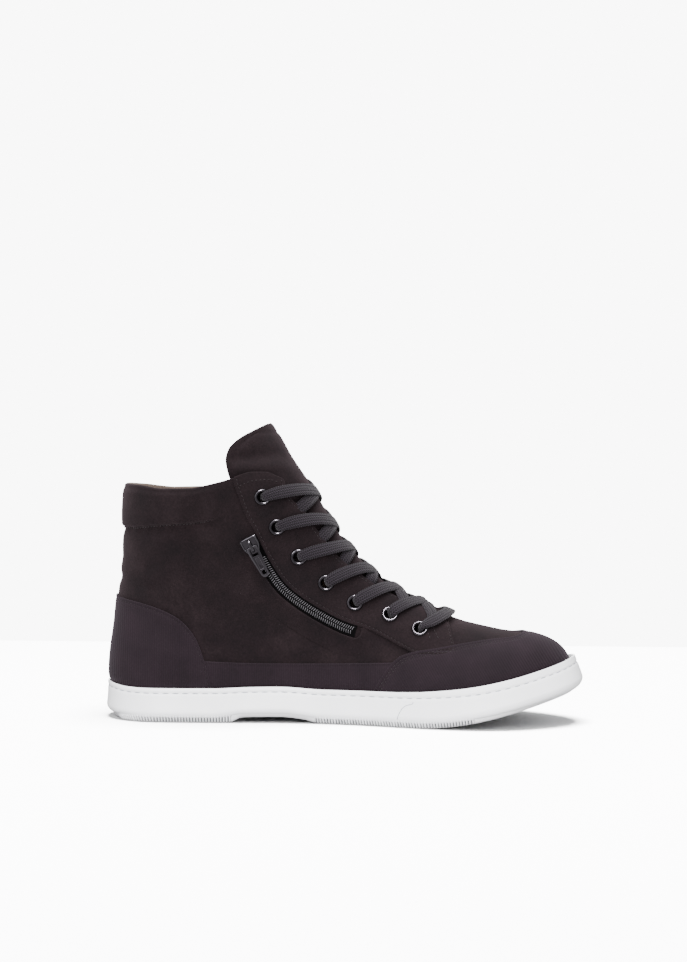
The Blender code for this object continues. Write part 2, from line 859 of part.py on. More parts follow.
def eyeletCutter():
    """All the eyelet holes as one set of round cutters, for the upper and the eyestay."""
    radius = eyeletBarrel + fitGap
    points = []
    faces = []
    for side in (-1, 1):
        for k in range(len(eyelets["along"])):
            place = np.array(placed(*eyeletPlace(k, side)))
            angle = 2 * np.pi * np.arange(eyeletSides) / eyeletSides
            low = len(points)
            for height in (-0.0045, 0.006):
                for a in angle:
                    local = np.array([radius * np.cos(a), radius * np.sin(a), height, 1])
                    points.append((place @ local)[:3])
            first = np.arange(eyeletSides) + low
            second = first + eyeletSides
            faces += stripFaces(np.append(first, low), np.append(second, second[0]))
            faces += [tuple(first), tuple(second)]
    mesh = bpy.data.meshes.new("holes")
    mesh.from_pydata([tuple(map(float, p)) for p in points], [], [tuple(map(int, f)) for f in faces])
    work = bmesh.new()
    work.from_mesh(mesh)
    bmesh.ops.recalc_face_normals(work, faces=work.faces)
    work.to_mesh(mesh)
    work.free()
    obj = bpy.data.objects.new("holes", mesh)
    bpy.context.scene.collection.objects.link(obj)
    return obj


def ridgePoint(x):
    """Height of the last's top line over x, by halving."""
    low = featherLine(x)
    high = low + 3 * instepHeight
    for _ in range(45):
        middle = (low + high) / 2
        open_ = crownPart(x, middle) + endPart(x, middle) < 1
        low, high = np.where(open_, middle, low), np.where(open_, high, middle)
    return low


def lacingGrid():
    """For each row of eyelets the eyelet's place and the nearest point of the top line."""
    x = np.linspace(-0.14, 0.34, 400) * length
    z = ridgePoint(x)
    places = []
    for along, up in zip(eyelets["along"] * length, eyelets["up"] * collarHeight):
        nearest = np.argmin(np.hypot(x - along, z - up))
        places.append((along, up, x[nearest], z[nearest]))
    places = np.array(places)
    return np.concatenate([places, [2 * places[-1] - places[-2]]])


def lacePoint(grid, row, across, offset):
    """A point over the skin at a row of the lacing: across is -1 and 1 at the eyelets, 0 on top."""
    rows = np.arange(len(grid))
    eyeX, eyeZ, topX, topZ = (float(np.interp(row, rows, grid[:, c])) for c in range(4))
    share = across * across
    x = topX + (eyeX - topX) * share
    z = topZ + (eyeZ - topZ) * share
    point = skin(np.array(x), np.array(z), 1 if across > 0 else -1)
    normal = normals(point)
    return point + normal * offset, normal


def bandMesh(name, path, widths, look):
    """A flat band along points with normals: four corners at each, both ends closed."""
    points = np.array([p for p, _ in path])
    out = np.array([n for _, n in path])
    tangent = np.gradient(points, axis=0)
    tangent /= np.linalg.norm(tangent, axis=1, keepdims=True)
    across = np.cross(tangent, out)
    across /= np.linalg.norm(across, axis=1, keepdims=True)
    out = np.cross(across, tangent)
    corners = []
    for a, b in ((-1, -1), (1, -1), (1, 1), (-1, 1)):
        corners.append(points + across * widths[:, None] * a / 2 + out * laceThickness * b / 2)
    grid = np.stack(corners, 1)
    number = np.arange(len(points) * 4).reshape(-1, 4)
    faces = []
    for k in range(4):
        faces += stripFaces(number[:, k], number[:, (k + 1) % 4])
    faces += [tuple(number[0]), tuple(number[-1])]
    return meshObject(name, grid.reshape(-1, 3), faces, look)


# The way of one lace run: across is 1 at its eyelet, 0 at the crossing and -1 at its end in the
# throat, row counts rows past its own eyelet, width is how full its width is, and lift is its height
# as a share between the throat's and the eyelet's.
laceRun = table(
    "across row width lift",
    (1.00, 0.00, 0.58, 1.0),
    (0.86, 0.07, 0.86, 1.0),
    (0.68, 0.18, 1.0, 1.0),
    (0.46, 0.32, 1.0, 0.9),
    (0.22, 0.45, 1.0, 0.75),
    (0.00, 0.56, 1.0, 0.75),
    (-0.36, 0.67, 1.0, 0.7),
    (-0.70, 0.77, 1.0, 0.4),
    (-1.00, 0.85, 0.94, 0.1),
)


def throatShare(rings, row):
    """The throat's half width at a row of the lacing, as a share of the way out to its eyelet."""
    fronts = rings[len(lowRows) - 1:, 0]
    half = np.abs(fronts[:, 1] - centreLine(fronts[:, 0], fronts[:, 2]))
    row = min(row, len(eyelets["up"]) - 1)
    x = np.interp(row, np.arange(len(eyelets["up"])), eyelets["along"]) * length
    z = np.interp(row, np.arange(len(eyelets["up"])), eyelets["up"]) * collarHeight
    return float(np.interp(z, fronts[:, 2], half) / halfAt(x, z))


def laceSeat():
    return overlayTop + 2 * seatGap + eyeletHeight + laceThickness / 2


def makeCross(k, rings, grid, look):
    """Two runs between two rows of eyelets, joined where they cross on the tongue."""
    low = laceThickness / 2 - 0.0004
    runs = []
    for side in (1, -1):
        end = throatShare(rings, k + 1) - laceEndGap / throatWidth
        dip = np.where(laceRun["across"] < 0, np.clip(end / laceDip, 0, 1), 1)
        end = max(end, laceShortest)
        across = side * laceRun["across"] * np.where(laceRun["across"] < 0, end, 1)
        over = laceThickness * laceOver * np.exp(-(across / 0.4) ** 2) * (side > 0)
        top = laceRun["lift"][0]
        height = low + (laceSeat() - low) * (top + (laceRun["lift"] - top) * dip) + over
        row = k + laceRun["row"] + laceStagger * (side > 0)
        path = [lacePoint(grid, r, a, h) for r, a, h in zip(row, across, height)]
        runs.append(bandMesh("lace_cross_" + str(k + 1), path, laceRun["width"] * laceWidth, look))
    cut(runs[0], runs[1], "UNION")
    return runs[0]


def makeBar(grid, look):
    """The lowest run, from one eyelet to the other, bowed forwards."""
    across = np.array([-1, -0.86, -0.65, -0.4, -0.15, 0.15, 0.4, 0.65, 0.86, 1])
    width = np.array([0.58, 0.86, 1, 1, 1, 1, 1, 1, 0.86, 0.58]) * laceWidth
    row = len(eyelets["up"]) - 1 + barBow * (1 - across ** 2)
    path = [lacePoint(grid, r, a, laceSeat()) for r, a in zip(row, across)]
    return bandMesh("lace_bar_7", path, width, look)


def zipRoute(count):
    """The coil's middle line in the side view: a fixed way behind the eyestay's rear edge."""
    line = edgeLine(stayEdge, 60, -(coilWidth / 2 + zipGap))
    keep = line[(line[:, 1] < 0.79 * collarHeight) & (line[:, 0] < 0.042 * length)]
    step = np.concatenate([[0], np.cumsum(np.linalg.norm(np.diff(keep, axis=0), axis=1))])
    at = np.linspace(0, step[-1], count)
    return np.stack([np.interp(at, step, keep[:, 0]), np.interp(at, step, keep[:, 1])], -1)


sliderAlong = -0.183
sliderUp = 0.748


def sliderPlace():
    route = zipRoute(30)
    return frameAt(sliderAlong * length, sliderUp * collarHeight, -1, tuple(route[7]))


def makeZipCoil(look):
    point, _, along = sliderPlace()
    route = zipRoute(18)
    spots = skin(route[:, 0], route[:, 1], -1)
    keep = (spots - point) @ along > sliderLength / 2 + seatGap
    spots = spots[keep]
    out = normals(spots)
    middle = overlayGap + fitGap + coilThickness / 2
    path = [(p + n * middle, n) for p, n in zip(spots, out)]
    widths = np.full(len(path), coilWidth)
    return bandMesh("zip_coil", path, widths, look)


def boxMesh(name, low, high, look):
    corners = [(x, y, z) for x in (low[0], high[0]) for y in (low[1], high[1]) for z in (low[2], high[2])]
    faces = [(0, 1, 3, 2), (4, 6, 7, 5), (0, 4, 5, 1), (2, 3, 7, 6), (0, 2, 6, 4), (1, 5, 7, 3)]
    return meshObject(name, corners, faces, look)


def axisHeight():
    """Height of the pull tab's pin over the last's skin."""
    return sliderGap + sliderHeight + pullGap + pullPin / 2


def makeSlider(look):
    """Body with chamfered top and a bridge over it that holds the pull tab."""
    low = sliderGap
    top = sliderGap + sliderHeight
    body = boxMesh("zip_slider", (-sliderLength / 2, -sliderWidth / 2, low),
                   (sliderLength / 2, sliderWidth / 2, top), look)
    work = bmesh.new()
    work.from_mesh(body.data)
    bmesh.ops.bevel(work, geom=[e for e in work.edges if abs(e.verts[0].co.z - e.verts[1].co.z) > 0.001
                                or min(v.co.z for v in e.verts) > low + 0.001],
                    offset=0.0009, segments=1, affect="EDGES")
    bmesh.ops.triangulate(work, faces=work.faces)
    work.to_mesh(body.data)
    work.free()
    inner = top + 2 * pullGap + pullPin
    outer = inner + bridgeThickness
    bridge = boxMesh("bridge", (-bridgeLength / 2, -bridgeWidth / 2, top - 0.0006),
                     (bridgeLength / 2, bridgeWidth / 2, outer), look)
    gap = boxMesh("bridge_gap", (-bridgeLength / 2 + bridgeThickness, -bridgeWidth, top - 0.001),
                  (bridgeLength / 2 - bridgeThickness, bridgeWidth, inner), look)
    cut(bridge, gap, "DIFFERENCE")
    cut(body, bridge, "UNION")
    body.matrix_world = placed(*sliderPlace())
    return body


def makePull(look):
    """Pull tab, modelled about its pin: a frame round the slider's bridge and a plate with a hole."""
    window = bridgeWidth + 2 * pullGap
    arm = (pullWidth - window) / 2
    reachIn = bridgeLength * 0.5 + pullPin
    half = pullThickness / 2
    frame = boxMesh("zip_pull", (-pullPin / 2, -pullWidth / 2, -half), (pullLength, pullWidth / 2, half), look)
    opening = boxMesh("opening", (pullPin / 2, -window / 2, -0.01), (pullPin / 2 + reachIn, window / 2, 0.01), look)
    cut(frame, opening, "DIFFERENCE")
    hole = boxMesh("hole", (pullLength - 0.0046, -0.0011, -0.01), (pullLength - 0.0022, 0.0011, 0.01), look)
    cut(frame, hole, "DIFFERENCE")
    work = bmesh.new()
    work.from_mesh(frame.data)
    ends = [e for e in work.edges
            if abs(e.verts[0].co.x - pullLength) < 1e-5 and abs(e.verts[1].co.x - pullLength) < 1e-5
            and abs(e.verts[0].co.z - e.verts[1].co.z) > 0.0005]
    bmesh.ops.bevel(work, geom=ends, offset=arm * 0.9, segments=3, affect="EDGES")
    bmesh.ops.triangulate(work, faces=work.faces)
    work.to_mesh(frame.data)
    work.free()
    matrix = placed(*sliderPlace())
    pin = Matrix.Translation((bridgeLength / 2 - bridgeThickness - pullPin / 2 - pullGap, 0, axisHeight()))
    frame.matrix_world = matrix @ pin
    return frame


def centreShift():
    """The widest points of the sole's two sides are made to lie equally far from the middle."""
    edge = levelRing(featherLine, lambda x: rimOuter + flareAt(x))
    return -(edge[:, 1].max() + edge[:, 1].min()) / 2


def main():
    for old in list(bpy.data.objects):
        bpy.data.objects.remove(old)
    suede = material("suede", (0.027, 0.019, 0.023), 0.9)
    ribbed = material("ribbed_cloth", (0.036, 0.027, 0.034), 0.85)
    lining = material("lining", (0.25, 0.17, 0.12), 0.8)
    rubber = material("white_rubber", (0.72, 0.74, 0.76), 0.5)
    metal = material("gunmetal", (0.16, 0.16, 0.18), 0.3, 1.0)
    cord = material("woven_lace", (0.06, 0.05, 0.07), 0.85)
    rings = upperRings()
    outlines = overlayOutlines()
    upper = makeUpper(rings, suede)
    cut(upper, eyeletCutter(), "DIFFERENCE")
    stay = makeOverlay("eyestay", rings, outlines["eyestay"], 0, suede)
    cut(stay, eyeletCutter(), "DIFFERENCE")
    makeOverlay("toe_guard", rings, outlines["toe_guard"], 0, ribbed)
    makeOverlay("heel_counter", rings, outlines["heel_counter"], 0, ribbed)
    makeOverlay("side_band_medial", rings, outlines["side_band"], -1, ribbed)
    makeOverlay("side_band_lateral", rings, outlines["side_band"], 1, ribbed)
    makeTongue(suede)
    makeInsole(lining)
    makeCup(rubber)
    makeOutsole(rubber)
    for side in (-1, 1):
        for k in range(len(eyelets["along"])):
            makeEyelet(k, side, metal)
    grid = lacingGrid()
    for k in range(len(eyelets["along"]) - 1):
        makeCross(k, rings, grid, cord)
    makeBar(grid, cord)
    makeZipCoil(metal)
    makeSlider(metal)
    makePull(metal)
    shift = Matrix.Translation((0, centreShift(), 0))
    for obj in bpy.data.objects:
        obj.matrix_world = shift @ obj.matrix_world


main()
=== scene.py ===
import math
import bmesh
import bpy
import numpy as np
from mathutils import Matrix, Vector


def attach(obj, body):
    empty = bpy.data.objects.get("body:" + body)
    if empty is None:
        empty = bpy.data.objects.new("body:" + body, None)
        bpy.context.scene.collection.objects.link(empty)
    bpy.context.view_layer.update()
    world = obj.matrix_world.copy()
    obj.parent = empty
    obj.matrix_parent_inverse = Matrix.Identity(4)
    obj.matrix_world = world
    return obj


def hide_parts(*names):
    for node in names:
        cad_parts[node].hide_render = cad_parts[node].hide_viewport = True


# High top sneaker, left foot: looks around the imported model.
# Metres, +X to the toe, +Z up, -Y to the inner side of the foot, which the camera sees.

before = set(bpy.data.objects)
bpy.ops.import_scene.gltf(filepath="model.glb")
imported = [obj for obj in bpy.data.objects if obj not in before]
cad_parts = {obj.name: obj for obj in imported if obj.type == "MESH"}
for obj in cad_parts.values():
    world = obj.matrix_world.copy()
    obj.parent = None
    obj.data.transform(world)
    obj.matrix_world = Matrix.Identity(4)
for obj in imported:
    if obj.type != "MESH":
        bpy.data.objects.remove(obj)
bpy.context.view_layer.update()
print("frame loaded,", len(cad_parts), "nodes")

length = 0.2785
ballWidth = 0.0965
collarHeight = 0.136
instepHeight = 0.093
heelRound = 0.032
toeRound = 0.056
toeSpring = 0.0165
toeFlare = 0.0052
sideFlare = 0.0014
heelLean = 0.0066
wall = 0.0016
cuffPadding = 0.0052
cuffBulge = 0.0012
overlayThickness = 0.0009
throatWidth = 0.042
tongueHeight = 0.1725
tongueThickness = 0.003
rimWall = 0.0012
rimHeight = 0.0198
bedHeight = 0.0112
soleUnder = 0.0026
archLift = 0.0024
treadInset = 0.0042
waistThickness = 0.0013
stitchBand = 0.003
insoleThickness = 0.0045
eyeletRadius = 0.0048
laceWidth = 0.0074
laceEndGap = 0.006
laceDip = 0.3
barBow = 0.63
coilWidth = 0.005
sliderHeight = 0.0026
bridgeLength = 0.0062
bridgeThickness = 0.0009
pullPin = 0.0010

# Named clearances
fitGap = 0.0005
overlayGap = 0.00035
tongueGap = 0.0014
sliderGap = 0.0014
zipGap = 0.0013
pullGap = 0.00035

# What follows from the sizes above
overlayTop = overlayGap + overlayThickness
cupInner = overlayTop + fitGap
rimOuter = cupInner + rimWall
backX = -length / 2 + rimOuter + sideFlare / 2
tipX = length / 2 - rimOuter - toeFlare


def table(names, *rows):
    # A table with named columns, a row for each section.
    return dict(zip(names.split(), np.array(rows, float).T))


def curve(t, xs, ys):
    # Smooth curve through the table's points, with no overshoot, flat past both ends.
    t = np.clip(np.asarray(t, float), xs[0], xs[-1])
    run = np.diff(xs)
    slope = np.diff(ys) / run
    knot = np.zeros(len(xs))
    same = slope[1:] * slope[:-1] > 0
    weightA = 2 * run[1:] + run[:-1]
    weightB = run[1:] + 2 * run[:-1]
    inner = np.zeros(len(xs) - 2)
    inner[same] = ((weightA + weightB)[same]
                   / (weightA[same] / slope[:-1][same] + weightB[same] / slope[1:][same]))
    knot[1:-1] = inner
    knot[0], knot[-1] = slope[0], slope[-1]
    i = np.clip(np.searchsorted(xs, t, side="right") - 1, 0, len(xs) - 2)
    u = (t - xs[i]) / run[i]
    return ((1 + 2 * u) * (1 - u) ** 2 * ys[i] + u * (1 - u) ** 2 * run[i] * knot[i]
            + u * u * (3 - 2 * u) * ys[i + 1] + u * u * (u - 1) * run[i] * knot[i + 1])


# Sections of the last. station is the share of the length from the heel, centre and ridgeSide are
# shares of the ball width, with the outer side of the foot positive, half is the sole's half width as a
# share of the ball width, ridge is the height of the top line over the feather line as a share of the
# instep height, crown is how full the top is and side how full the side is.
sections = table(
    "station centre half ridge ridgeSide crown side",
    (0.00, 0.005, 0.345, 4.45, 0.000, 2.6, 2.0),
    (0.12, 0.005, 0.350, 3.50, 0.000, 2.6, 2.0),
    (0.25, 0.020, 0.352, 2.44, 0.000, 2.6, 2.0),
    (0.32, 0.033, 0.352, 2.00, -0.004, 2.6, 2.0),
    (0.36, 0.041, 0.353, 1.745, -0.008, 2.5, 2.0),
    (0.42, 0.048, 0.362, 1.41, -0.016, 2.35, 2.0),
    (0.46, 0.050, 0.372, 1.21, -0.026, 2.2, 2.0),
    (0.50, 0.050, 0.388, 1.02, -0.038, 2.05, 2.0),
    (0.54, 0.047, 0.407, 0.890, -0.048, 1.95, 2.0),
    (0.58, 0.040, 0.430, 0.778, -0.056, 1.9, 2.0),
    (0.63, 0.027, 0.460, 0.680, -0.064, 1.9, 2.0),
    (0.69, 0.008, 0.488, 0.595, -0.072, 1.95, 2.0),
    (0.77, -0.020, 0.497, 0.482, -0.082, 2.1, 2.0),
    (0.84, -0.043, 0.470, 0.415, -0.088, 2.35, 2.05),
    (0.92, -0.064, 0.400, 0.382, -0.088, 2.7, 2.1),
    (1.00, -0.075, 0.320, 0.350, -0.082, 2.9, 2.1),
)

# Width over the feather line's width, at shares of the collar's rise.
waistLine = table(
    "rise width",
    (0.00, 1.000),
    (0.10, 1.000),
    (0.20, 0.992),
    (0.35, 0.950),
    (0.50, 0.925),
    (0.65, 0.950),
    (0.80, 1.030),
    (0.92, 1.130),
    (1.05, 1.200),
    (1.30, 1.190),
)

# How far the back leans forward, as a share of heelLean, at shares of the collar's rise.
heelBack = table(
    "rise lean",
    (0.00, 0.04),
    (0.10, 0.00),
    (0.22, 0.08),
    (0.32, 0.24),
    (0.42, 0.42),
    (0.52, 0.60),
    (0.65, 0.80),
    (0.80, 0.95),
    (1.00, 1.00),
    (1.30, 1.02),
)

# The sole's lines over its spring line: rim as a share of rimHeight, bed as a share of bedHeight,
# and arch as a share of archLift.
soleLines = table(
    "station rim bed arch",
    (0.00, 1.035, 1.03, 0.0),
    (0.10, 1.000, 1.03, 0.0),
    (0.24, 1.005, 1.00, 0.0),
    (0.31, 1.045, 0.96, 0.95),
    (0.38, 1.060, 0.93, 1.0),
    (0.47, 1.000, 0.88, 0.0),
    (0.60, 1.010, 0.82, 0.0),
    (0.72, 1.075, 0.81, 0.0),
    (0.85, 1.075, 0.84, 0.0),
    (0.95, 1.090, 0.85, 0.0),
    (1.00, 1.150, 0.86, 0.0),
)

# The collar line and the seam under the cuff, as shares of the collar height.
collarLines = table(
    "station collar seam",
    (0.00, 1.000, 0.808),
    (0.07, 1.000, 0.815),
    (0.13, 0.988, 0.829),
    (0.19, 0.990, 0.838),
    (0.24, 1.010, 0.853),
    (0.28, 1.032, 0.873),
    (0.32, 1.055, 0.892),
    (0.345, 1.054, 0.895),
    (0.37, 1.034, 0.895),
    (0.395, 1.008, 0.895),
    (0.45, 0.990, 0.895),
)

# Half of the throat's width as a share of half of throatWidth, from its lower end to the collar.
throatLine = table(
    "rise half",
    (0.00, 0.42),
    (0.10, 0.62),
    (0.25, 0.82),
    (0.45, 0.95),
    (0.70, 1.02),
    (1.00, 0.98),
)

# Share of the cuff's bulge and of its padding at the rows over the seam.
cuffLine = table(
    "row bulge padding",
    (1.0, 0.0, 0.0),
    (1.08, 0.8, 0.5),
    (1.4, 1.0, 1.0),
    (1.85, 0.75, 0.85),
    (2.0, 0.0, 0.5),
)

# Where the cuff's bulge and its padding begin, as shares of the length from the middle.
bulgeStart = -0.23
paddingStart = -0.262

# Outlines of the overlays in the side view, as shares of the length and of the collar height.
guardEdge = table(
    "along up",
    (0.0652, 0.080),
    (0.0746, 0.145),
    (0.0918, 0.207),
    (0.1116, 0.262),
    (0.1298, 0.2915),
    (0.158, 0.310),
    (0.2039, 0.326),
    (0.2646, 0.346),
    (0.311, 0.358),
    (0.3505, 0.363),
    (0.3752, 0.375),
)
counterEdge = table(
    "along up",
    (-0.5135, 0.520),
    (-0.47, 0.514),
    (-0.4345, 0.504),
    (-0.39, 0.484),
    (-0.3565, 0.459),
    (-0.3347, 0.434),
    (-0.313, 0.392),
    (-0.2962, 0.341),
    (-0.2829, 0.270),
    (-0.2735, 0.210),
    (-0.2627, 0.080),
)
bandTop = table(
    "along up",
    (-0.2864, 0.256),
    (-0.2024, 0.249),
    (-0.1323, 0.247),
    (-0.0158, 0.251),
    (0.0592, 0.257),
    (0.1284, 0.264),
)
stayEdge = table(
    "along up",
    (-0.2192, 1.070),
    (-0.2158, 1.018),
    (-0.2064, 0.961),
    (-0.1925, 0.881),
    (-0.1768, 0.822),
    (-0.1654, 0.771),
    (-0.1382, 0.666),
    (-0.1106, 0.587),
    (-0.078, 0.532),
    (-0.0306, 0.4735),
    (0.0123, 0.432),
    (0.0632, 0.399),
    (0.1264, 0.3375),
    (0.16, 0.3050),
)

# Front edge of the eyestay at the toe guard and on the top line, as shares of the length.
stayFront = 0.241
stayTop = 0.216

# Eyelets in the side view, from the top one down, as shares of the length and of the collar height.
eyelets = table(
    "along up",
    (-0.16, 0.953),
    (-0.1308, 0.826),
    (-0.0862, 0.699),
    (-0.0296, 0.590),
    (0.0306, 0.507),
    (0.1032, 0.460),
    (0.1649, 0.402),
)

# The tongue's side edge: how far it lies behind the front line, as a share of the length.
tongueEdge = table(
    "rise behind",
    (0.00, 0.085),
    (0.20, 0.115),
    (0.45, 0.135),
    (0.70, 0.148),
    (0.80, 0.138),
    (0.87, 0.117),
    (0.93, 0.078),
    (0.97, 0.038),
    (1.00, 0.006),
)


def station(x):
    return np.asarray(x, float) / length + 0.5


def section(name, x):
    return curve(station(x), sections["station"], sections[name])


def soleLine(name, x):
    return curve(station(x), soleLines["station"], soleLines[name])


def springLine(x):
    # Lift of the whole sole towards the toe.
    start = 0.165 * length
    run = np.clip((np.asarray(x, float) - start) / (length / 2 - start), 0, 1.05)
    return toeSpring * run ** 1.6


def featherLine(x):
    return springLine(x) + bedHeight * soleLine("bed", x)


def rimLine(x):
    return springLine(x) + rimHeight * soleLine("rim", x)


def underLine(x):
    # The cup's underside, raised at the arch.
    return springLine(x) + soleUnder + archLift * soleLine("arch", x)


def rowHeight(row, x):
    # Height of a row of the upper: feather line, cuff seam and collar in turn.
    low = featherLine(x)
    seam = collarHeight * curve(station(x), collarLines["station"], collarLines["seam"])
    top = collarHeight * curve(station(x), collarLines["station"], collarLines["collar"])
    return np.where(row <= 1, low + (seam - low) * row, seam + (top - seam) * (row - 1))


def rise(x, z):
    return (z - featherLine(x)) / (collarHeight - bedHeight)


def crownPart(x, z):
    ridge = instepHeight * section("ridge", x)
    return np.clip((z - featherLine(x)) / ridge, 0, 3) ** section("crown", x)


def endPart(x, z):
    # How far a point is into the rounded heel or toe, 1 at its very end.
    up = rise(x, z)
    lean = heelLean * curve(up, heelBack["rise"], heelBack["lean"])
    fade = np.clip(1 - station(x) / 0.42, 0, 1)
    shifted = x - lean * fade ** 0.5
    heel = np.clip(1 - (shifted - backX) / (heelRound * (1 + 0.55 * np.clip(up, 0, 1.3) ** 1.2)), 0, 2)
    toe = np.clip(1 - (tipX - x) / toeRound, 0, 2)
    return heel ** 2.1 + toe ** 2.5


def fullHalf(x, z):
    half = ballWidth * section("half", x) - rimOuter - sideFlare
    return half * curve(rise(x, z), waistLine["rise"], waistLine["width"])


def centreLine(x, z):
    up = np.clip((z - featherLine(x)) / (instepHeight * section("ridge", x)), 0, 1)
    low = section("centre", x)
    return ballWidth * (low + (section("ridgeSide", x) - low) * up * up)


def formValue(x, y, z):
    # The last's skin is where this is 1: (|y - centre| / half) ** side + crown part + end part.
    across = np.abs(y - centreLine(x, z)) / fullHalf(x, z)
    return across ** section("side", x) + crownPart(x, z) + endPart(x, z)


def halfAt(x, z):
    left = np.clip(1 - crownPart(x, z) - endPart(x, z), 0, 1)
    return fullHalf(x, z) * left ** (1 / section("side", x))


def skin(x, z, side):
    # Points of the last's skin at x and z, on the inner side for -1 and the outer side for 1.
    y = centreLine(x, z) + side * halfAt(x, z)
    return np.stack(np.broadcast_arrays(x, y, z), -1)


def unit(directions):
    # The same directions, one long.
    return directions / np.maximum(np.linalg.norm(directions, axis=-1, keepdims=True), 1e-12)


def slopes(points, step=1e-5):
    # How fast formValue changes along X, Y and Z, from small steps to both sides.
    x, y, z = points[..., 0], points[..., 1], points[..., 2]
    return np.stack([
        formValue(x + step, y, z) - formValue(x - step, y, z),
        formValue(x, y + step, z) - formValue(x, y - step, z),
        formValue(x, y, z + step) - formValue(x, y, z - step),
    ], -1) / (2 * step)


def normals(points):
    # Outward directions of the skin.
    return unit(slopes(points))


def endOf(height, half, outward):
    # x where the skin at this height line is half wide, towards the toe for 1 and the heel for -1.
    inside = -0.3 * length
    outside = (tipX if outward > 0 else backX) + outward * 0.002
    for _ in range(45):
        middle = (inside + outside) / 2
        if halfAt(middle, height(middle)) > half:
            inside = middle
        else:
            outside = middle
    return inside


def ring(height, half=0.0, count=60):
    # Points round the last at a height line: inner side from the front to the back, then the outer.
    front = endOf(height, half, 1)
    back = endOf(height, 0.0, -1)
    share = (1 - np.cos(np.pi * np.linspace(0, 1, count + 1))) / 2
    x = front + (back - front) * share
    inner = skin(x, height(x), -1)
    outer = skin(x, height(x), 1)
    if half <= 0:
        inner[0, 1] = outer[0, 1] = centreLine(x[0], height(x[0]))
    inner[-1, 1] = outer[-1, 1] = centreLine(x[-1], height(x[-1]))
    return np.concatenate([inner, outer[-2::-1]])


def levelNormals(points):
    # The level part of the outward directions, so that heights stay.
    return unit(normals(points) * (1, 1, 0))


def pushed(points, offset):
    # Points moved out along the skin's normal.
    return points + normals(points) * np.asarray(offset)[..., None]


# Tools for meshes

throatStart = 0.466


def flareAt(x):
    # How far the sole's side stands out below its rim: little at the sides, most at the toe.
    t = station(x)
    side = sideFlare * (0.5 + 0.5 * np.clip(t / 0.3, 0, 1))
    return side + (toeFlare - sideFlare) * np.clip((t - 0.8) / 0.2, 0, 1) ** 1.5


def centreShift():
    # The same small move to the middle that the CAD model makes, from the same 18 columns.
    base = ring(featherLine, 0.0, 18)
    edge = base + levelNormals(base) * (rimOuter + flareAt(base[:, 0]))[:, None]
    return -(edge[:, 1].max() + edge[:, 1].min()) / 2


shiftY = float(centreShift())


def settle(points):
    # Newton's steps down the slope of formValue, until each point lies where it is 1.
    p = np.array(points, float)
    for _ in range(9):
        value = formValue(p[..., 0], p[..., 1], p[..., 2]) - 1
        slope = slopes(p)
        move = value[..., None] * slope / np.maximum((slope ** 2).sum(-1, keepdims=True), 1)
        far = np.linalg.norm(move, axis=-1, keepdims=True)
        p -= move * np.minimum(1, 0.006 / np.maximum(far, 1e-9))
    return p


def smooth(t):
    t = np.clip(t, 0, 1)
    return t * t * (3 - 2 * t)


def wave(points, size, seed):
    # Soft unevenness from -1 to 1: the product of slow sines along three slanted directions.
    q = points / size
    a = np.sin(q @ np.array([1.0, 0.7, 0.45]) + seed) * np.sin(q @ np.array([-0.6, 1.1, 0.9]) + 1.7 * seed)
    b = np.sin(q @ np.array([1.9, -0.8, 1.3]) + 2.3 * seed) * np.sin(q @ np.array([0.5, 1.6, -1.7]) + seed)
    return 0.65 * a + 0.35 * b


def alongPath(points):
    # Distance from the first point to each point along the path.
    return np.concatenate([[0], np.cumsum(np.linalg.norm(np.diff(points, axis=0), axis=-1))])


def pick(at, run, points):
    # Points at the distances at, on a path whose own points lie at the distances run.
    return np.stack([np.interp(at, run, points[:, c]) for c in range(points.shape[1])], -1)


def resample(points, count):
    # The same path with count points at equal steps.
    run = alongPath(points)
    return pick(np.linspace(0, run[-1], count), run, points)


def rounded(points, times=2):
    # Takes the corners off a path of points: each inner point moves to the mean of its neighbours.
    p = np.array(points, float)
    for _ in range(times):
        p[1:-1] = (p[:-2] + 2 * p[1:-1] + p[2:]) / 4
    return p


def gridFaces(rows, cols, start=0, wrapRows=False, wrapCols=False):
    # Corner numbers of the quads of a rows by cols grid.
    i = np.arange(rows if wrapRows else rows - 1)
    j = np.arange(cols if wrapCols else cols - 1)
    i, j = np.meshgrid(i, j, indexing="ij")
    ni, nj = (i + 1) % rows, (j + 1) % cols
    faces = np.stack([i * cols + j, i * cols + nj, ni * cols + nj, ni * cols + j], -1)
    return faces.reshape(-1, 4) + start


def newObject(name, data):
    piece = bpy.data.objects.new(name, data)
    bpy.context.scene.collection.objects.link(piece)
    return piece


def cleanMesh(mesh, merge=0):
    # Doubles are merged first, and then all faces are turned outwards.
    work = bmesh.new()
    work.from_mesh(mesh)
    if merge:
        bmesh.ops.remove_doubles(work, verts=work.verts, dist=merge)
        bmesh.ops.dissolve_degenerate(work, edges=work.edges, dist=merge)
    bmesh.ops.recalc_face_normals(work, faces=work.faces)
    work.to_mesh(mesh)
    work.free()


def addMesh(name, points, faces, material, slot, uv, merge=1e-6, smoothAngle=0.8):
    # One finished piece: numpy points and quads in, its place kept in its mesh.
    points = points.reshape(-1, 3) + (0, shiftY, 0)
    mesh = bpy.data.meshes.new(name)
    mesh.vertices.add(len(points))
    mesh.vertices.foreach_set("co", points.astype(np.float32).ravel())
    mesh.loops.add(faces.size)
    mesh.loops.foreach_set("vertex_index", faces.astype(np.int32).ravel())
    mesh.polygons.add(len(faces))
    mesh.polygons.foreach_set("loop_start", (np.arange(len(faces)) * 4).astype(np.int32))
    mesh.uv_layers.new(name="UVMap").data.foreach_set("uv", uv[faces.ravel()].astype(np.float32).ravel())
    mesh.update(calc_edges=True)
    cleanMesh(mesh, merge)
    mesh.materials.append(material)
    mesh.shade_smooth()
    mesh.set_sharp_from_angle(angle=smoothAngle)
    piece = newObject(name, mesh)
    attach(piece, "shoe")
    return piece


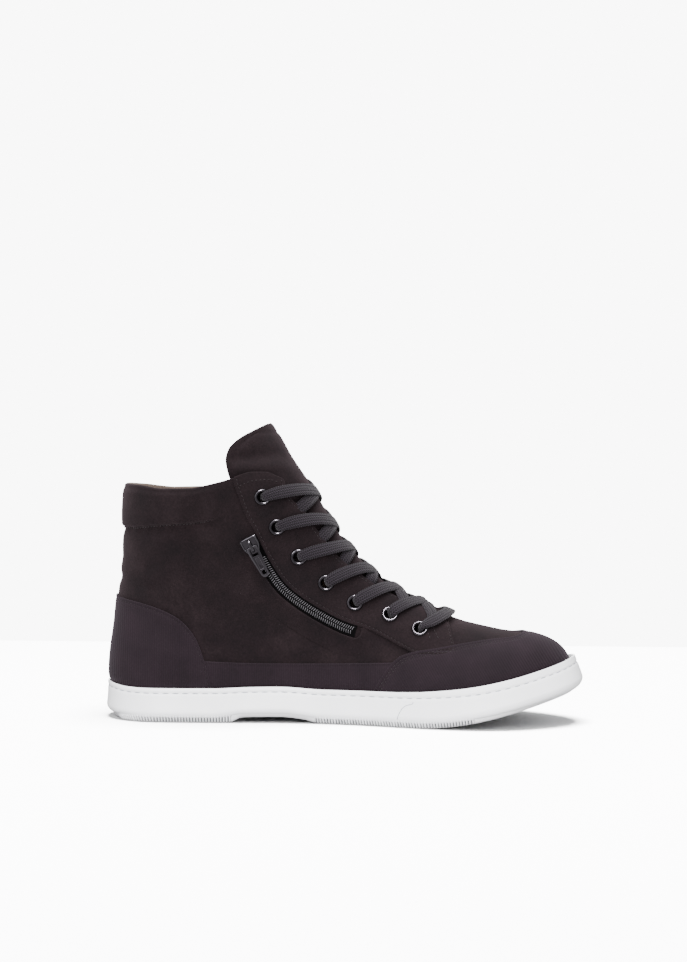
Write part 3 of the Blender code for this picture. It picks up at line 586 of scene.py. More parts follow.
class Pile:
    # Several grids gathered into one mesh.
    def __init__(self):
        self.points, self.faces, self.uvs, self.count = [], [], [], 0

    def grid(self, grid, uv=None, wrapRows=False, wrapCols=False):
        rows, cols = grid.shape[:2]
        self.faces.append(gridFaces(rows, cols, self.count, wrapRows, wrapCols))
        self.points.append(grid.reshape(-1, 3))
        self.uvs.append(np.zeros((rows * cols, 2)) if uv is None else np.asarray(uv).reshape(-1, 2))
        self.count += rows * cols

    def add(self, name, material, slot, **more):
        return addMesh(name, np.concatenate(self.points), np.concatenate(self.faces), material, slot,
                       uv=np.concatenate(self.uvs), **more)


def capped(grid):
    # Closes both ends of a tube with the middles of its end rows.
    ends = [np.repeat(row.mean(0)[None, None], grid.shape[1], 1) for row in (grid[0], grid[-1])]
    return np.concatenate([ends[0], grid, ends[1]])


def closedSheet(outer, inner):
    # A sheet between two grids of equal size, with its four rims closed.
    pile = Pile()
    pile.grid(outer)
    pile.grid(inner)
    for a, b in ((outer[0], inner[0]), (outer[-1], inner[-1]), (outer[:, 0], inner[:, 0]),
                 (outer[:, -1], inner[:, -1])):
        pile.grid(np.stack([a, b]))
    return pile


def sectionPoints(sides, power, extra=0):
    # Points at even angles of |a| ** power + |b| ** power = 1. extra repeats the first ones for a UV's seam.
    angle = 2 * np.pi * np.arange(sides + extra) / sides
    a, b = np.cos(angle), np.sin(angle)
    return np.sign(a) * np.abs(a) ** (2 / power), np.sign(b) * np.abs(b) ** (2 / power)


def carried(path, across, out, section, width, height):
    # A section carried along a path: path + across * a * width / 2 + out * b * height / 2, its ends closed.
    a, b = section
    width, height = (np.broadcast_to(size, len(path))[:, None] for size in (width, height))
    grid = (path[:, None] + across[:, None] * (a * width / 2)[..., None]
            + out[:, None] * (b * height / 2)[..., None])
    return np.concatenate([np.repeat(path[:1, None], len(a), 1), grid, np.repeat(path[-1:, None], len(a), 1)])


def tubeAlong(path, width, height, up, sides, power=2.0):
    # A closed tube along a path whose height points to up.
    tangent = unit(np.gradient(path, axis=0))
    across = unit(np.cross(tangent, up))
    return carried(path, across, np.cross(across, tangent), sectionPoints(sides, power), width, height)


def sideDistance(x, z, line):
    # Distance in the side view from each point to a line of points.
    shape = np.broadcast(x, z).shape
    p = np.stack([np.broadcast_to(x, shape).ravel(), np.broadcast_to(z, shape).ravel()], -1)
    best = np.full(len(p), 1.0)
    for a, b in zip(line[:-1], line[1:]):
        d = b - a
        t = np.clip(((p - a) @ d) / (d @ d), 0, 1)
        best = np.minimum(best, np.linalg.norm(p - a - t[:, None] * d, axis=1))
    return best.reshape(shape)


# Tools for materials

def hexColour(text):
    # sRGB hex to the linear values that a shader takes
    parts = [int(text[i:i + 2], 16) / 255 for i in (1, 3, 5)]
    return tuple(v / 12.92 if v <= 0.04045 else ((v + 0.055) / 1.055) ** 2.4 for v in parts) + (1.0,)


def setInputs(tree, node, inputs):
    # Each input, by name or number, takes the output that feeds it, or its own value.
    for key, value in inputs.items():
        if isinstance(value, bpy.types.NodeSocket):
            tree.links.new(value, node.inputs[key])
        else:
            node.inputs[key].default_value = value


def addNode(tree, kind, inputs=(), stops=(), **settings):
    # Adds a node and gives its outputs: settings are its properties, and stops are a ramp's places,
    # each with a hex colour or a grey.
    node = tree.nodes.new(kind)
    for key, value in settings.items():
        setattr(node, key, value)
    for _ in stops[2:]:
        node.color_ramp.elements.new(0.5)
    for k, (place, colour) in enumerate(stops):
        element = node.color_ramp.elements[k]
        element.position = place
        element.color = hexColour(colour) if isinstance(colour, str) else (colour, colour, colour, 1)
    setInputs(tree, node, dict(inputs))
    return node.outputs


def newMaterial(name):
    # An empty material with its tree and its Principled shader.
    made = bpy.data.materials.new(name)
    made.use_nodes = True
    return made, made.node_tree, made.node_tree.nodes["Principled BSDF"]


# Materials. Sizes are in millimetres: 1000 / size on Object coordinates, which are in metres, and the size
# itself on a piece's UV, which is in millimetres.

suede = {"dark": "#161013", "middle": "#1f1619", "light": "#281e21", "tint": "#8a7a80", "cloud": 18.1818,
         "nap": 1.1111}  # the real nap is finer: drawn as coarse as it needs to show
ribbed = {"dark": "#20161d", "light": "#291d25", "tint": "#9a8c98", "cloud": 16.6667, "pitch": 1.3, "weft": 0.9}
# The lace's dark, middle and light are painted shade and painted highlight, laid by the braid's height
lace = {"dark": "#0c080c", "middle": "#1f181f", "light": "#362b37", "wale": 1.5, "stitch": 1.3}
# rubber's gap colour is painted shade: the darker grey between the tread's ribs
rubber = {"shade": "#ececef", "light": "#f4f4f7", "gap": "#77797c", "cloud": 25.0, "grain": 0.55556}
lining = {"dark": "#6c5d55", "light": "#84746a", "cloud": 14.2857, "stitch": 0.90909}
# metal's edge colour is a painted highlight along sharp edges, which also stands for rubbed wear
metal = {"body": "#3b383c", "edge": "#77747a", "roughness": 0.16, "wear": 0.06, "rub": 1.42857}
twist = 0.4  # the real twist is finer


def suedeMaterial():
    # Microfibre suede, brushed: dull, with a fine nap that catches light at grazing angles
    made, tree, shader = newMaterial("brushedMicrofibreSuede")
    place = addNode(tree, "ShaderNodeTexCoord")["Object"]
    cloud = addNode(tree, "ShaderNodeTexNoise", {"Vector": place, "Scale": 1000 / suede["cloud"], "Detail": 4,
                                                 "Roughness": 0.6})[0]
    nap = addNode(tree, "ShaderNodeTexNoise", {"Vector": place, "Scale": 1000 / suede["nap"], "Detail": 3,
                                               "Roughness": 0.65})[0]
    base = addNode(tree, "ShaderNodeValToRGB", {0: cloud}, [
        (0.3, suede["dark"]), (0.52, suede["middle"]), (0.72, suede["light"])])[0]
    fine = addNode(tree, "ShaderNodeValToRGB", {0: nap}, [(0.32, 0.72), (0.7, 1.3)])[0]
    colour = addNode(tree, "ShaderNodeMix", {0: 1.0, 6: base, 7: fine}, data_type="RGBA",
                     blend_type="MULTIPLY")[2]
    bump = addNode(tree, "ShaderNodeBump", {"Height": nap, "Strength": 0.25, "Distance": 0.0003})[0]
    soft = addNode(tree, "ShaderNodeBump", {"Height": cloud, "Normal": bump, "Strength": 0.35,
                                            "Distance": 0.0012})[0]
    setInputs(tree, shader, {"Base Color": colour, "Normal": soft, "Roughness": 0.93, "Sheen Weight": 0.35,
                             "Sheen Roughness": 0.55, "Sheen Tint": hexColour(suede["tint"]),
                             "Specular IOR Level": 0.18})
    return made


def ribbedMaterial():
    # Grosgrain: a woven cloth with fine ribs across it, dull, with painted shade in the valleys between its
    # ribs and a painted highlight on each rib's top
    made, tree, shader = newMaterial("wovenGrosgrain")
    place = addNode(tree, "ShaderNodeTexCoord")
    split = addNode(tree, "ShaderNodeSeparateXYZ", {0: place["UV"]})
    rib = addNode(tree, "ShaderNodeMath", {0: split[0], 1: 2 * math.pi / ribbed["pitch"]},
                  operation="MULTIPLY")[0]
    swing = addNode(tree, "ShaderNodeMath", {0: rib}, operation="SINE")[0]
    ribs = addNode(tree, "ShaderNodeMath", {0: swing, 1: 0.5, 2: 0.5}, operation="MULTIPLY_ADD")[0]
    weft = addNode(tree, "ShaderNodeMath", {0: split[1], 1: 2 * math.pi / ribbed["weft"]},
                   operation="MULTIPLY")[0]
    wefts = addNode(tree, "ShaderNodeMath", {0: weft}, operation="SINE")[0]
    height = addNode(tree, "ShaderNodeMath", {0: wefts, 1: 0.12, 2: ribs}, operation="MULTIPLY_ADD")[0]
    cloud = addNode(tree, "ShaderNodeTexNoise", {"Vector": place["Object"], "Scale": 1000 / ribbed["cloud"],
                                                 "Detail": 4})[0]
    base = addNode(tree, "ShaderNodeValToRGB", {0: cloud}, [(0.3, ribbed["dark"]), (0.7, ribbed["light"])])[0]
    # Painted shade and painted highlight: the colour is darker in the valleys between ribs and a little lighter
    # on their tops
    groove = addNode(tree, "ShaderNodeValToRGB", {0: ribs}, [(0.0, 0.84), (0.55, 1.02), (1.0, 1.08)])[0]
    colour = addNode(tree, "ShaderNodeMix", {0: 1.0, 6: base, 7: groove}, data_type="RGBA",
                     blend_type="MULTIPLY")[2]
    bump = addNode(tree, "ShaderNodeBump", {"Height": height, "Strength": 0.6, "Distance": 0.00014})[0]
    setInputs(tree, shader, {"Base Color": colour, "Normal": bump, "Roughness": 0.85, "Sheen Weight": 0.25,
                             "Sheen Roughness": 0.5, "Sheen Tint": hexColour(ribbed["tint"]),
                             "Specular IOR Level": 0.25})
    return made


def laceMaterial():
    # Braided polyester: flat tubular braid with rows of stitches along it
    made, tree, shader = newMaterial("braidedPolyester")
    split = addNode(tree, "ShaderNodeSeparateXYZ", {0: addNode(tree, "ShaderNodeTexCoord")["UV"]})
    across = addNode(tree, "ShaderNodeMath", {0: split[1], 1: math.pi / lace["wale"]}, operation="MULTIPLY")[0]
    swing = addNode(tree, "ShaderNodeMath", {0: across}, operation="SINE")[0]
    rows = addNode(tree, "ShaderNodeMath", {0: swing}, operation="ABSOLUTE")[0]
    slant = addNode(tree, "ShaderNodeMath", {0: split[1], 1: lace["wale"]}, operation="PINGPONG")[0]
    along = addNode(tree, "ShaderNodeMath", {0: slant, 1: 0.9, 2: split[0]}, operation="MULTIPLY_ADD")[0]
    turn = addNode(tree, "ShaderNodeMath", {0: along, 1: 2 * math.pi / lace["stitch"]}, operation="MULTIPLY")[0]
    knots = addNode(tree, "ShaderNodeMath", {0: turn}, operation="SINE")[0]
    height = addNode(tree, "ShaderNodeMath", {0: knots, 1: 0.55, 2: rows}, operation="MULTIPLY_ADD")[0]
    # Painted shade and painted highlight: the colour follows the braid's height, near black in the hollows
    # between stitches and lighter on the raised ones
    paintedBraidShade = addNode(tree, "ShaderNodeMath", {0: height, 1: 0.74}, operation="MULTIPLY")[0]
    colour = addNode(tree, "ShaderNodeValToRGB", {0: paintedBraidShade}, [
        (0.05, lace["dark"]), (0.5, lace["middle"]), (0.95, lace["light"])])[0]
    bump = addNode(tree, "ShaderNodeBump", {"Height": height, "Strength": 0.9, "Distance": 0.00025})[0]
    setInputs(tree, shader, {"Base Color": colour, "Normal": bump, "Roughness": 0.8, "Sheen Weight": 0.2,
                             "Sheen Roughness": 0.5, "Specular IOR Level": 0.25})
    return made


def rubberMaterial():
    # Vulcanised rubber, moulded: a satin white with a faint unevenness
    made, tree, shader = newMaterial("mouldedWhiteRubber")
    place = addNode(tree, "ShaderNodeTexCoord")["Object"]
    cloud = addNode(tree, "ShaderNodeTexNoise", {"Vector": place, "Scale": 1000 / rubber["cloud"], "Detail": 5,
                                                 "Roughness": 0.55})[0]
    grain = addNode(tree, "ShaderNodeTexNoise", {"Vector": place, "Scale": 1000 / rubber["grain"],
                                                 "Detail": 2})[0]
    colour = addNode(tree, "ShaderNodeValToRGB", {0: cloud},
                     [(0.3, rubber["shade"]), (0.65, rubber["light"])])[0]
    satin = addNode(tree, "ShaderNodeValToRGB", {0: cloud}, [(0.3, 0.5), (0.7, 0.38)])[0]
    bump = addNode(tree, "ShaderNodeBump", {"Height": grain, "Strength": 0.12, "Distance": 0.0001})[0]
    setInputs(tree, shader, {"Base Color": colour, "Roughness": satin, "Normal": bump,
                             "Specular IOR Level": 0.4})
    return made


def treadMaterial():
    # The same rubber in the tread, with painted shade: the gaps between its ribs are coloured darker grey, as
    # shade falls there
    made, tree, shader = newMaterial("ribbedOutsoleRubber")
    split = addNode(tree, "ShaderNodeSeparateXYZ", {0: addNode(tree, "ShaderNodeTexCoord")["UV"]})
    colour = addNode(tree, "ShaderNodeValToRGB", {0: split[0]},
                     [(0.1, rubber["gap"]), (0.7, rubber["light"])])[0]
    setInputs(tree, shader, {"Base Color": colour, "Roughness": 0.5, "Specular IOR Level": 0.35})
    return made


def liningMaterial():
    # Knitted lining cloth: soft, matt, a warm taupe
    made, tree, shader = newMaterial("knittedLining")
    place = addNode(tree, "ShaderNodeTexCoord")["Object"]
    knit = addNode(tree, "ShaderNodeTexVoronoi", {"Vector": place, "Scale": 1000 / lining["stitch"],
                                                  "Randomness": 0.35})["Distance"]
    cloud = addNode(tree, "ShaderNodeTexNoise", {"Vector": place, "Scale": 1000 / lining["cloud"],
                                                 "Detail": 4})[0]
    base = addNode(tree, "ShaderNodeValToRGB", {0: cloud}, [(0.3, lining["dark"]), (0.7, lining["light"])])[0]
    # Painted shade: the knit's loops are lighter and the hollows between them darker, following the bump's
    # height
    fine = addNode(tree, "ShaderNodeValToRGB", {0: knit}, [(0.0, 1.12), (0.7, 0.78)])[0]
    colour = addNode(tree, "ShaderNodeMix", {0: 1.0, 6: base, 7: fine}, data_type="RGBA",
                     blend_type="MULTIPLY")[2]
    bump = addNode(tree, "ShaderNodeBump", {"Height": knit, "Strength": 0.5, "Distance": 0.0002},
                   invert=True)[0]
    setInputs(tree, shader, {"Base Color": colour, "Normal": bump, "Roughness": 0.9, "Sheen Weight": 0.2,
                             "Specular IOR Level": 0.2})
    return made


def metalMaterial():
    # Stamped brass or die-cast zinc with a dark nickel plating: polished, its sharp edges painted lighter, a
    # painted highlight that also stands for rubbed wear
    made, tree, shader = newMaterial("platedDarkNickel")
    place = addNode(tree, "ShaderNodeTexCoord")["Object"]
    rub = addNode(tree, "ShaderNodeTexNoise", {"Vector": place, "Scale": 1000 / metal["rub"], "Detail": 4,
                                               "Roughness": 0.7})[0]
    satin = addNode(tree, "ShaderNodeValToRGB", {0: rub}, [
        (0.3, metal["roughness"]), (0.75, metal["roughness"] + metal["wear"])])[0]
    # Painted highlight: pointiness makes the sharp edges lighter, standing also for rubbed wear
    edge = addNode(tree, "ShaderNodeValToRGB", {0: addNode(tree, "ShaderNodeNewGeometry")["Pointiness"]}, [
        (0.52, metal["body"]), (0.62, metal["edge"])])[0]
    colour = addNode(tree, "ShaderNodeMix", {0: 0.15, 6: edge, 7: rub}, data_type="RGBA",
                     blend_type="OVERLAY")[2]
    bump = addNode(tree, "ShaderNodeBump", {"Height": rub, "Strength": 0.03, "Distance": 0.0001})[0]
    setInputs(tree, shader, {"Base Color": colour, "Roughness": satin, "Normal": bump, "Metallic": 1.0})
    return made


def threadMaterial(name, colour, light, gloss=0.35):
    # Twisted sewing thread: a slight silk sheen, and its twist a soft mottle
    made, tree, shader = newMaterial(name)
    place = addNode(tree, "ShaderNodeTexCoord")["Object"]
    mottle = addNode(tree, "ShaderNodeTexNoise", {"Vector": place, "Scale": 1000 / twist, "Detail": 1})[0]
    base = addNode(tree, "ShaderNodeValToRGB", {0: mottle}, [(0.35, colour), (0.65, light)])[0]
    setInputs(tree, shader, {"Base Color": base, "Roughness": 0.6, "Sheen Weight": gloss / 2,
                             "Specular IOR Level": gloss})
    return made


suedeCloth = suedeMaterial()
ribbedCloth = ribbedMaterial()
laceCloth = laceMaterial()
whiteRubber = rubberMaterial()
treadRubber = treadMaterial()
liningCloth = liningMaterial()
gunmetal = metalMaterial()
coilNylon = threadMaterial("polishedNylonCoil", "#524f54", "#77747a", 0.5)
darkThread = threadMaterial("twistedDarkThread", "#1e161a", "#302529")
# The zip tape is dark cloth made near black, so that it also paints the shade beside the coil
tapeCloth = threadMaterial("wovenZipTape", "#030203", "#060506", 0.05)
soleThread = threadMaterial("twistedGreyThread", "#9aa0b0", "#c3c7d2")
print("materials made")


# Upper

upperShape = {
    "sag": 0.0019,
    "columns": 164,
    "lowRows": 22,
    "highRows": 34,
    "seamRows": (0.96, 0.972, 0.982, 0.99, 0.996, 1, 1.006, 1.014, 1.024, 1.036, 1.05, 1.07),
    "cuffRows": 20,
    "cloth": 0.0007,
    "seamDepth": 0.0009,
    "rollPower": 0.75,
    "seamWidth": 0.0011,
    "waviness": 0.00022,
}

# Soft folds: their line in the side view (shares of length and collar height), depth and width.
folds = (
    (((-0.47, 0.60), (-0.43, 0.575), (-0.385, 0.56)), 0.0011, 0.0035),
    (((-0.485, 0.70), (-0.44, 0.665), (-0.395, 0.655)), 0.0006, 0.0045),
    (((-0.30, 0.74), (-0.26, 0.70), (-0.235, 0.66)), 0.0007, 0.0060),
    (((-0.36, 0.42), (-0.30, 0.44), (-0.25, 0.45)), 0.0004, 0.0060),
    (((0.225, 0.42), (0.255, 0.39), (0.27, 0.365)), 0.0006, 0.0045),
    (((-0.12, 0.40), (-0.06, 0.37), (0.01, 0.34)), 0.0004, 0.0060),
)


def throatHalf(row):
    # Half of the throat's width at a row, with a round lower end.
    share = np.clip((row - throatStart) / (2 - throatStart), 0, 1)
    roundness = np.sqrt(1 - (1 - np.clip(share / 0.035, 0, 1)) ** 2)
    return throatWidth / 2 * curve(share, throatLine["rise"], throatLine["half"]) * roundness


def cuffShare(x, start):
    # 1 along the cuff and 0 in front of its start, under the eyestay.
    return np.clip((start * length - x) / (0.035 * length), 0, 1)


def wallAt(row, x):
    # Thickness of the wall with its padding.
    padding = (cuffPadding - wall) * curve(row, cuffLine["row"], cuffLine["padding"])
    return wall + padding * smooth(cuffShare(x, paddingStart))


def foldDepth(points):
    # Sum of soft troughs: depth * exp(-(distance / width) ** 2), each a line in the side view.
    total = np.zeros(points.shape[:-1])
    for line, depth, width in folds:
        line = resample(rounded(np.array(line) * (length, collarHeight), 1), 9)
        total += depth * np.exp(-(sideDistance(points[..., 0], points[..., 2], line) / width) ** 2)
    return total


def topHeight(row, x):
    # Height of a row where the topmost one leaves room for the rolled rim.
    roll = wallAt(2.0, x) / 2
    return rowHeight(row, x) - roll * smooth((row - 1.7) / 0.3)


def sunk(points):
    # The collar's outer side sags a little between the heel and the eyestay.
    x, y, z = points[..., 0], points[..., 1], points[..., 2]
    t = station(x)
    share = (smooth((z - 0.86 * collarHeight) / (0.1 * collarHeight)) * smooth((y - centreLine(x, z)) / 0.014)
             * smooth((t - 0.03) / 0.07) * smooth((0.32 - t) / 0.08))
    return np.stack([x, y, z - upperShape["sag"] * share], -1)


def makeUpper():
    s = upperShape
    cloth = s["cloth"]
    # Rows, close together at the seam
    high = throatStart + (1 - throatStart) * np.linspace(0, 1, s["highRows"])[1:-2] ** 1.15
    rows = np.concatenate([np.linspace(0, throatStart, s["lowRows"]), high, s["seamRows"],
                           np.linspace(1.1, 2, s["cuffRows"])])
    rings = np.array([ring(lambda x, row=row: topHeight(row, x), float(throatHalf(row)), s["columns"])
                      for row in rows])
    r = rows[:, None]
    x, z = rings[..., 0], rings[..., 2]
    bulge = cuffBulge * curve(r, cuffLine["row"], cuffLine["bulge"]) * smooth(cuffShare(x, bulgeStart))
    # The seam falls steeply under the cuff and gently below it, with small puckers
    away = z - rowHeight(1.0, x)
    seam = np.exp(-(away / np.where(away < 0, 3 * s["seamWidth"], s["seamWidth"])) ** 2)
    seam *= smooth(cuffShare(x, bulgeStart - 0.01))
    puckers = 1 + 0.35 * np.sin(x / 0.0011) * np.exp(-(away / 0.004) ** 2)
    free = smooth((z - featherLine(x)) / 0.02) * smooth((2 - r) / 0.3)
    soft = s["waviness"] * wave(rings, 0.011, 2.0) * free
    fold = foldDepth(rings)
    out = bulge - s["seamDepth"] * seam * puckers + soft - fold
    thick = wallAt(r, x) + fold
    back = np.minimum(cloth - thick, out - cloth - 0.0002)
    thick = np.maximum(thick, 0.0003 - back)
    # The rolled rim is half an ellipse with full corners: power of cos across, power of sin up
    edge = pushed(rings[-1:], 0)[0]
    level = levelNormals(edge)
    half = wallAt(2.0, edge[:, 0])[:, None] / 2
    turn = np.linspace(0, np.pi, 17)[1:-1]
    across = (np.sign(np.cos(turn)) * np.abs(np.cos(turn)) ** s["rollPower"])[:, None, None]
    up = (np.sin(turn) ** s["rollPower"])[:, None, None] * np.array([0, 0, 1.0])
    rim = edge + level * half * (across - 1) + half * up
    rimIn = edge + level * (half * (across - 1) - cloth * across) + (half - cloth) * up
    # Suede and lining meet on top of the rim
    split = len(turn) // 2 + 1
    outside = np.concatenate([pushed(rings, out), rim[:split + 1]])
    under = np.concatenate([pushed(rings, out - cloth), rimIn[:split + 1]])
    closedSheet(sunk(outside), sunk(under)).add("upper_suede", suedeCloth, "suede")
    inside = np.concatenate([rim[split:], pushed(rings, -thick)[::-1]])
    cover = np.concatenate([rimIn[split:], pushed(rings, back)[::-1]])
    closedSheet(sunk(inside), sunk(cover)).add("upper_lining", liningCloth, "lining")


# Overlays: cloth patches on the skin between an edge curve and a second curve

overlayShape = {
    "low": 0.00025,
    "bandTop": 0.00085,
    "top": 0.00135,
    "round": 0.0005,
    "heelSwell": 0.0012,
    "stitchIn": 0.0018,
    "stitchDent": 0.00028,
    "dentWidth": 0.0006,
    "secondRow": 0.0016,
    "guardSlant": -57,
    "columns": 220,
    "rows": 38,
    "stayColumns": 240,
    "stayRows": 46,
}


def edgeLine(edge, count, shift=0.0):
    # Points along an overlay's edge in metres, moved sideways by shift to its left.
    along = edge["along"] * length
    up = edge["up"] * collarHeight
    run = alongPath(np.stack([along, up], -1))
    at = np.linspace(0, run[-1], count)
    x, z = curve(at, run, along), curve(at, run, up)
    tangent = unit(np.stack([np.gradient(x), np.gradient(z)], -1))
    return np.stack([x - tangent[:, 1] * shift, z + tangent[:, 0] * shift], -1)


def onSkin(line, side):
    # A side view line laid on the skin.
    return skin(line[:, 0], line[:, 1], side)


def ridgePoint(x):
    # Height of the last's top line over x, by halving.
    low = featherLine(x)
    high = low + 3 * instepHeight
    for _ in range(45):
        middle = (low + high) / 2
        isOpen = crownPart(x, middle) + endPart(x, middle) < 1
        low, high = np.where(isOpen, middle, low), np.where(isOpen, high, middle)
    return low


def wrapEdge(line, count, end):
    # An edge from the inner side over the front or back to the outer side, as one even path.
    path = np.concatenate([onSkin(line, -1), end[None], onSkin(line, 1)[::-1]])
    return resample(settle(rounded(resample(path, count * 4), 6)), count)


def ruled(first, second, rows, power=1.0):
    # Rows of points between two paths of equal count, drawn onto the skin.
    t = (np.linspace(0, 1, rows) ** power)[:, None, None]
    return settle(first * (1 - t) + second * t)


def clothPatch(name, grid, low, top, look, slot, uv=None, dents=(), soft=0.0, extra=0.0):
    # Closed piece of cloth on a grid of the skin: its top at top, its edge rolled over with a small radius.
    # dents are (distance from the first row, depth, width) of sewn lines.
    direction = normals(grid)
    uv = np.zeros(grid.shape[:2] + (2,)) if uv is None else uv
    near = np.cumsum(np.linalg.norm(np.diff(grid, axis=0, prepend=grid[:1]), axis=-1), 0)
    lift = np.full(grid.shape[:2], top)
    for place, depth, width in dents:
        lift -= depth * np.exp(-((near - place) / width) ** 2)
    if soft:
        lift += soft * wave(grid, 0.012, 5.0) * smooth(near / 0.01)
    lift = lift + extra
    surface = grid + direction * lift[..., None]
    pile = Pile()
    pile.grid(surface, uv)
    pile.grid(grid + direction * low, uv)
    radius = overlayShape["round"]
    for side in (np.s_[0], np.s_[-1], np.s_[:, 0], np.s_[:, -1]):
        inside = {0: 1, -1: -2}.get(side) if isinstance(side, int) else (side[0], 1 if side[1] == 0 else -2)
        g, n, lifts = grid[side], direction[side], lift[side]
        away = np.cross(np.gradient(g, axis=0), n)
        away = unit(away * np.sign((away * (g - grid[inside])).sum(-1, keepdims=True)))
        steps = [g + n * lifts[..., None]]
        for a in (0.5, 1.05, 1.57):
            steps.append(g + away * radius * np.sin(a) + n * (lifts - radius * (1 - np.cos(a)))[..., None])
        steps += [g + away * radius + n * low, g + n * low]
        pile.grid(np.array(steps), np.broadcast_to(uv[side], (len(steps), len(g), 2)))
    pile.add(name, look, slot)
    return surface, near


def slantUv(grid, angle):
    # UV in millimetres: the first across ribs that run at this angle in the side view, the second along.
    a = math.radians(angle)
    along = np.cos(a) * grid[..., 0] + np.sin(a) * grid[..., 2]
    across = -np.sin(a) * grid[..., 0] + np.cos(a) * grid[..., 2]
    return np.stack([across, along + grid[..., 1]], -1) * 1000


sewn = {}


def footLoop(start, towards):
    # The feather line's points beyond start, towards the toe for 1 and the heel for -1, inner side first.
    loop = ring(featherLine, 0.0, 400)
    half = len(loop) // 2
    inner, outer = (part[towards * part[:, 0] > towards * start] for part in (loop[:half + 1], loop[half:]))
    if towards > 0:
        inner, outer = inner[::-1], outer[::-1]
    return np.concatenate([inner, outer[1:]])


def makeGuard():
    s = overlayShape
    line = edgeLine(guardEdge, 90)
    x = line[-1, 0] + 0.0005
    z = ridgePoint(np.array(x))
    edge = wrapEdge(line, s["columns"], np.array([x, centreLine(x, z), z]))
    bottom = resample(footLoop(line[0, 0], 1), s["columns"])
    grid = ruled(edge, bottom, s["rows"] + 8, 1.7)
    dents = [(s["stitchIn"] + row, s["stitchDent"], s["dentWidth"]) for row in (0, s["secondRow"])]
    sewn["guard"] = clothPatch("toe_guard_cloth", grid, s["low"], s["top"], ribbedCloth, "ribbed_cloth",
                               slantUv(grid, s["guardSlant"]), dents)


def makeCounter():
    s = overlayShape
    line = edgeLine(counterEdge, 90)[::-1]
    z = line[-1, 1]
    x = endOf(lambda v: z + 0 * v, 0.0, -1)
    edge = wrapEdge(line[line[:, 0] > x + 0.001], s["columns"], np.array([x, centreLine(x, z), z]))
    bottom = resample(footLoop(line[0, 0], -1), s["columns"])
    grid = ruled(edge, bottom, s["rows"] + 8, 1.6)
    # The stuffed heel stands out over the sole's rim, most at the back
    height = grid[..., 2]
    back = smooth((-0.40 * length - grid[..., 0]) / (0.09 * length))
    swell = s["heelSwell"] * smooth((height - 0.0206) / 0.0045) * (1 - smooth((height - 0.030) / 0.028)) * back
    dents = ((s["stitchIn"] - 0.0005, s["stitchDent"], s["dentWidth"]),)
    sewn["counter"] = clothPatch("heel_counter_cloth", grid, s["low"], s["top"], ribbedCloth, "ribbed_cloth",
                                 slantUv(grid, 90), dents, extra=swell)


def makeBand(side):
    s = overlayShape
    top = edgeLine(bandTop, 120)
    x = np.linspace(top[0, 0] - 0.001, top[-1, 0] + 0.001, 150)
    high = np.stack([x, np.interp(x, top[:, 0], top[:, 1])], -1)
    low = np.stack([x, featherLine(x)], -1)
    grid = ruled(onSkin(high, side), onSkin(low, side), 22, 1.4)
    name = "side_band_cloth_" + ("inner" if side < 0 else "outer")
    clothPatch(name, grid, s["low"] - 0.0001, s["bandTop"], ribbedCloth, "ribbed_cloth", slantUv(grid, 90),
               ((0.0012, 0.0002, 0.0005),))


def throatEdge(side, count):
    # The throat's edge from the collar down to its lower end, on the skin.
    rows = 2 - (2 - throatStart) * np.linspace(0, 1, 70) ** 0.8
    points = []
    for row in rows:
        half = float(throatHalf(row))
        x = np.array(endOf(lambda v: rowHeight(row, v), half, 1))
        points.append(skin(x, rowHeight(row, x), side))
    points = np.array(points)
    points[-1, 1] = centreLine(points[-1, 0], points[-1, 2])
    return resample(points, count)


def makeStay(side):
    s = overlayShape
    count = s["stayColumns"]
    # Its outer edge: rear line, then beside the toe guard, then up to the top line
    stay = edgeLine(stayEdge, 200)
    collar = collarHeight * curve(station(stay[:, 0]), collarLines["station"], collarLines["collar"])
    stay = stay[stay[:, 1] < collar + 0.0002]
    guard = edgeLine(guardEdge, 200, -0.004)
    over = guard[:, 1] - np.interp(guard[:, 0], stay[:, 0], stay[:, 1])
    first = int(np.argmax((over > 0) & (guard[:, 0] > 0.05 * length)))
    stay = stay[stay[:, 0] < guard[first, 0]]
    front = guard[(guard[:, 0] > guard[first, 0]) & (guard[:, 0] < stayFront * length)]
    topX = stayTop * length
    ridge = np.array([topX, ridgePoint(np.array(topX))])
    up = np.linspace(0, 1, 20)[1:, None]
    line = np.concatenate([stay, front, front[-1] * (1 - up) + ridge * up])
    outer = resample(onSkin(rounded(resample(line, 400), 6), side), 400)
    # Equal stretches of both edges belong together
    outer, inner = resample(settle(outer[:-1]), count), resample(throatEdge(side, 400), count)
    outer[-1] = settle(np.array([ridge[0], centreLine(ridge[0], ridge[1]), ridge[1]])[None])[0]
    t = (np.linspace(0, 1, s["stayRows"]) ** 1.3)[:, None, None]
    flat = outer * (1 - t) + inner * t
    x = np.linspace(outer[0, 0], inner[0, 0], 200)
    edge = skin(x, rowHeight(2.0, x), side)
    run = alongPath(edge)
    collarEdge = pick(t[:, 0, 0] * run[-1], run, edge)
    fade = (1 - smooth(np.linspace(0, 1, count) / 0.25))[None, :, None]
    grid = settle(flat + (collarEdge - flat[:, 0])[:, None] * fade)
    name = "eyestay_suede_" + ("inner" if side < 0 else "outer")
    sewn["stay" + str(side)] = clothPatch(name, grid, 0.0001, s["top"] - 0.0001, suedeCloth, "suede", None,
                                          ((s["stitchIn"] - 0.0003, s["stitchDent"], s["dentWidth"]),), 0.0001)


makeUpper()
makeGuard()
makeCounter()
for side in (-1, 1):
    makeBand(side)
    makeStay(side)
print("upper and overlays made")


# Sole

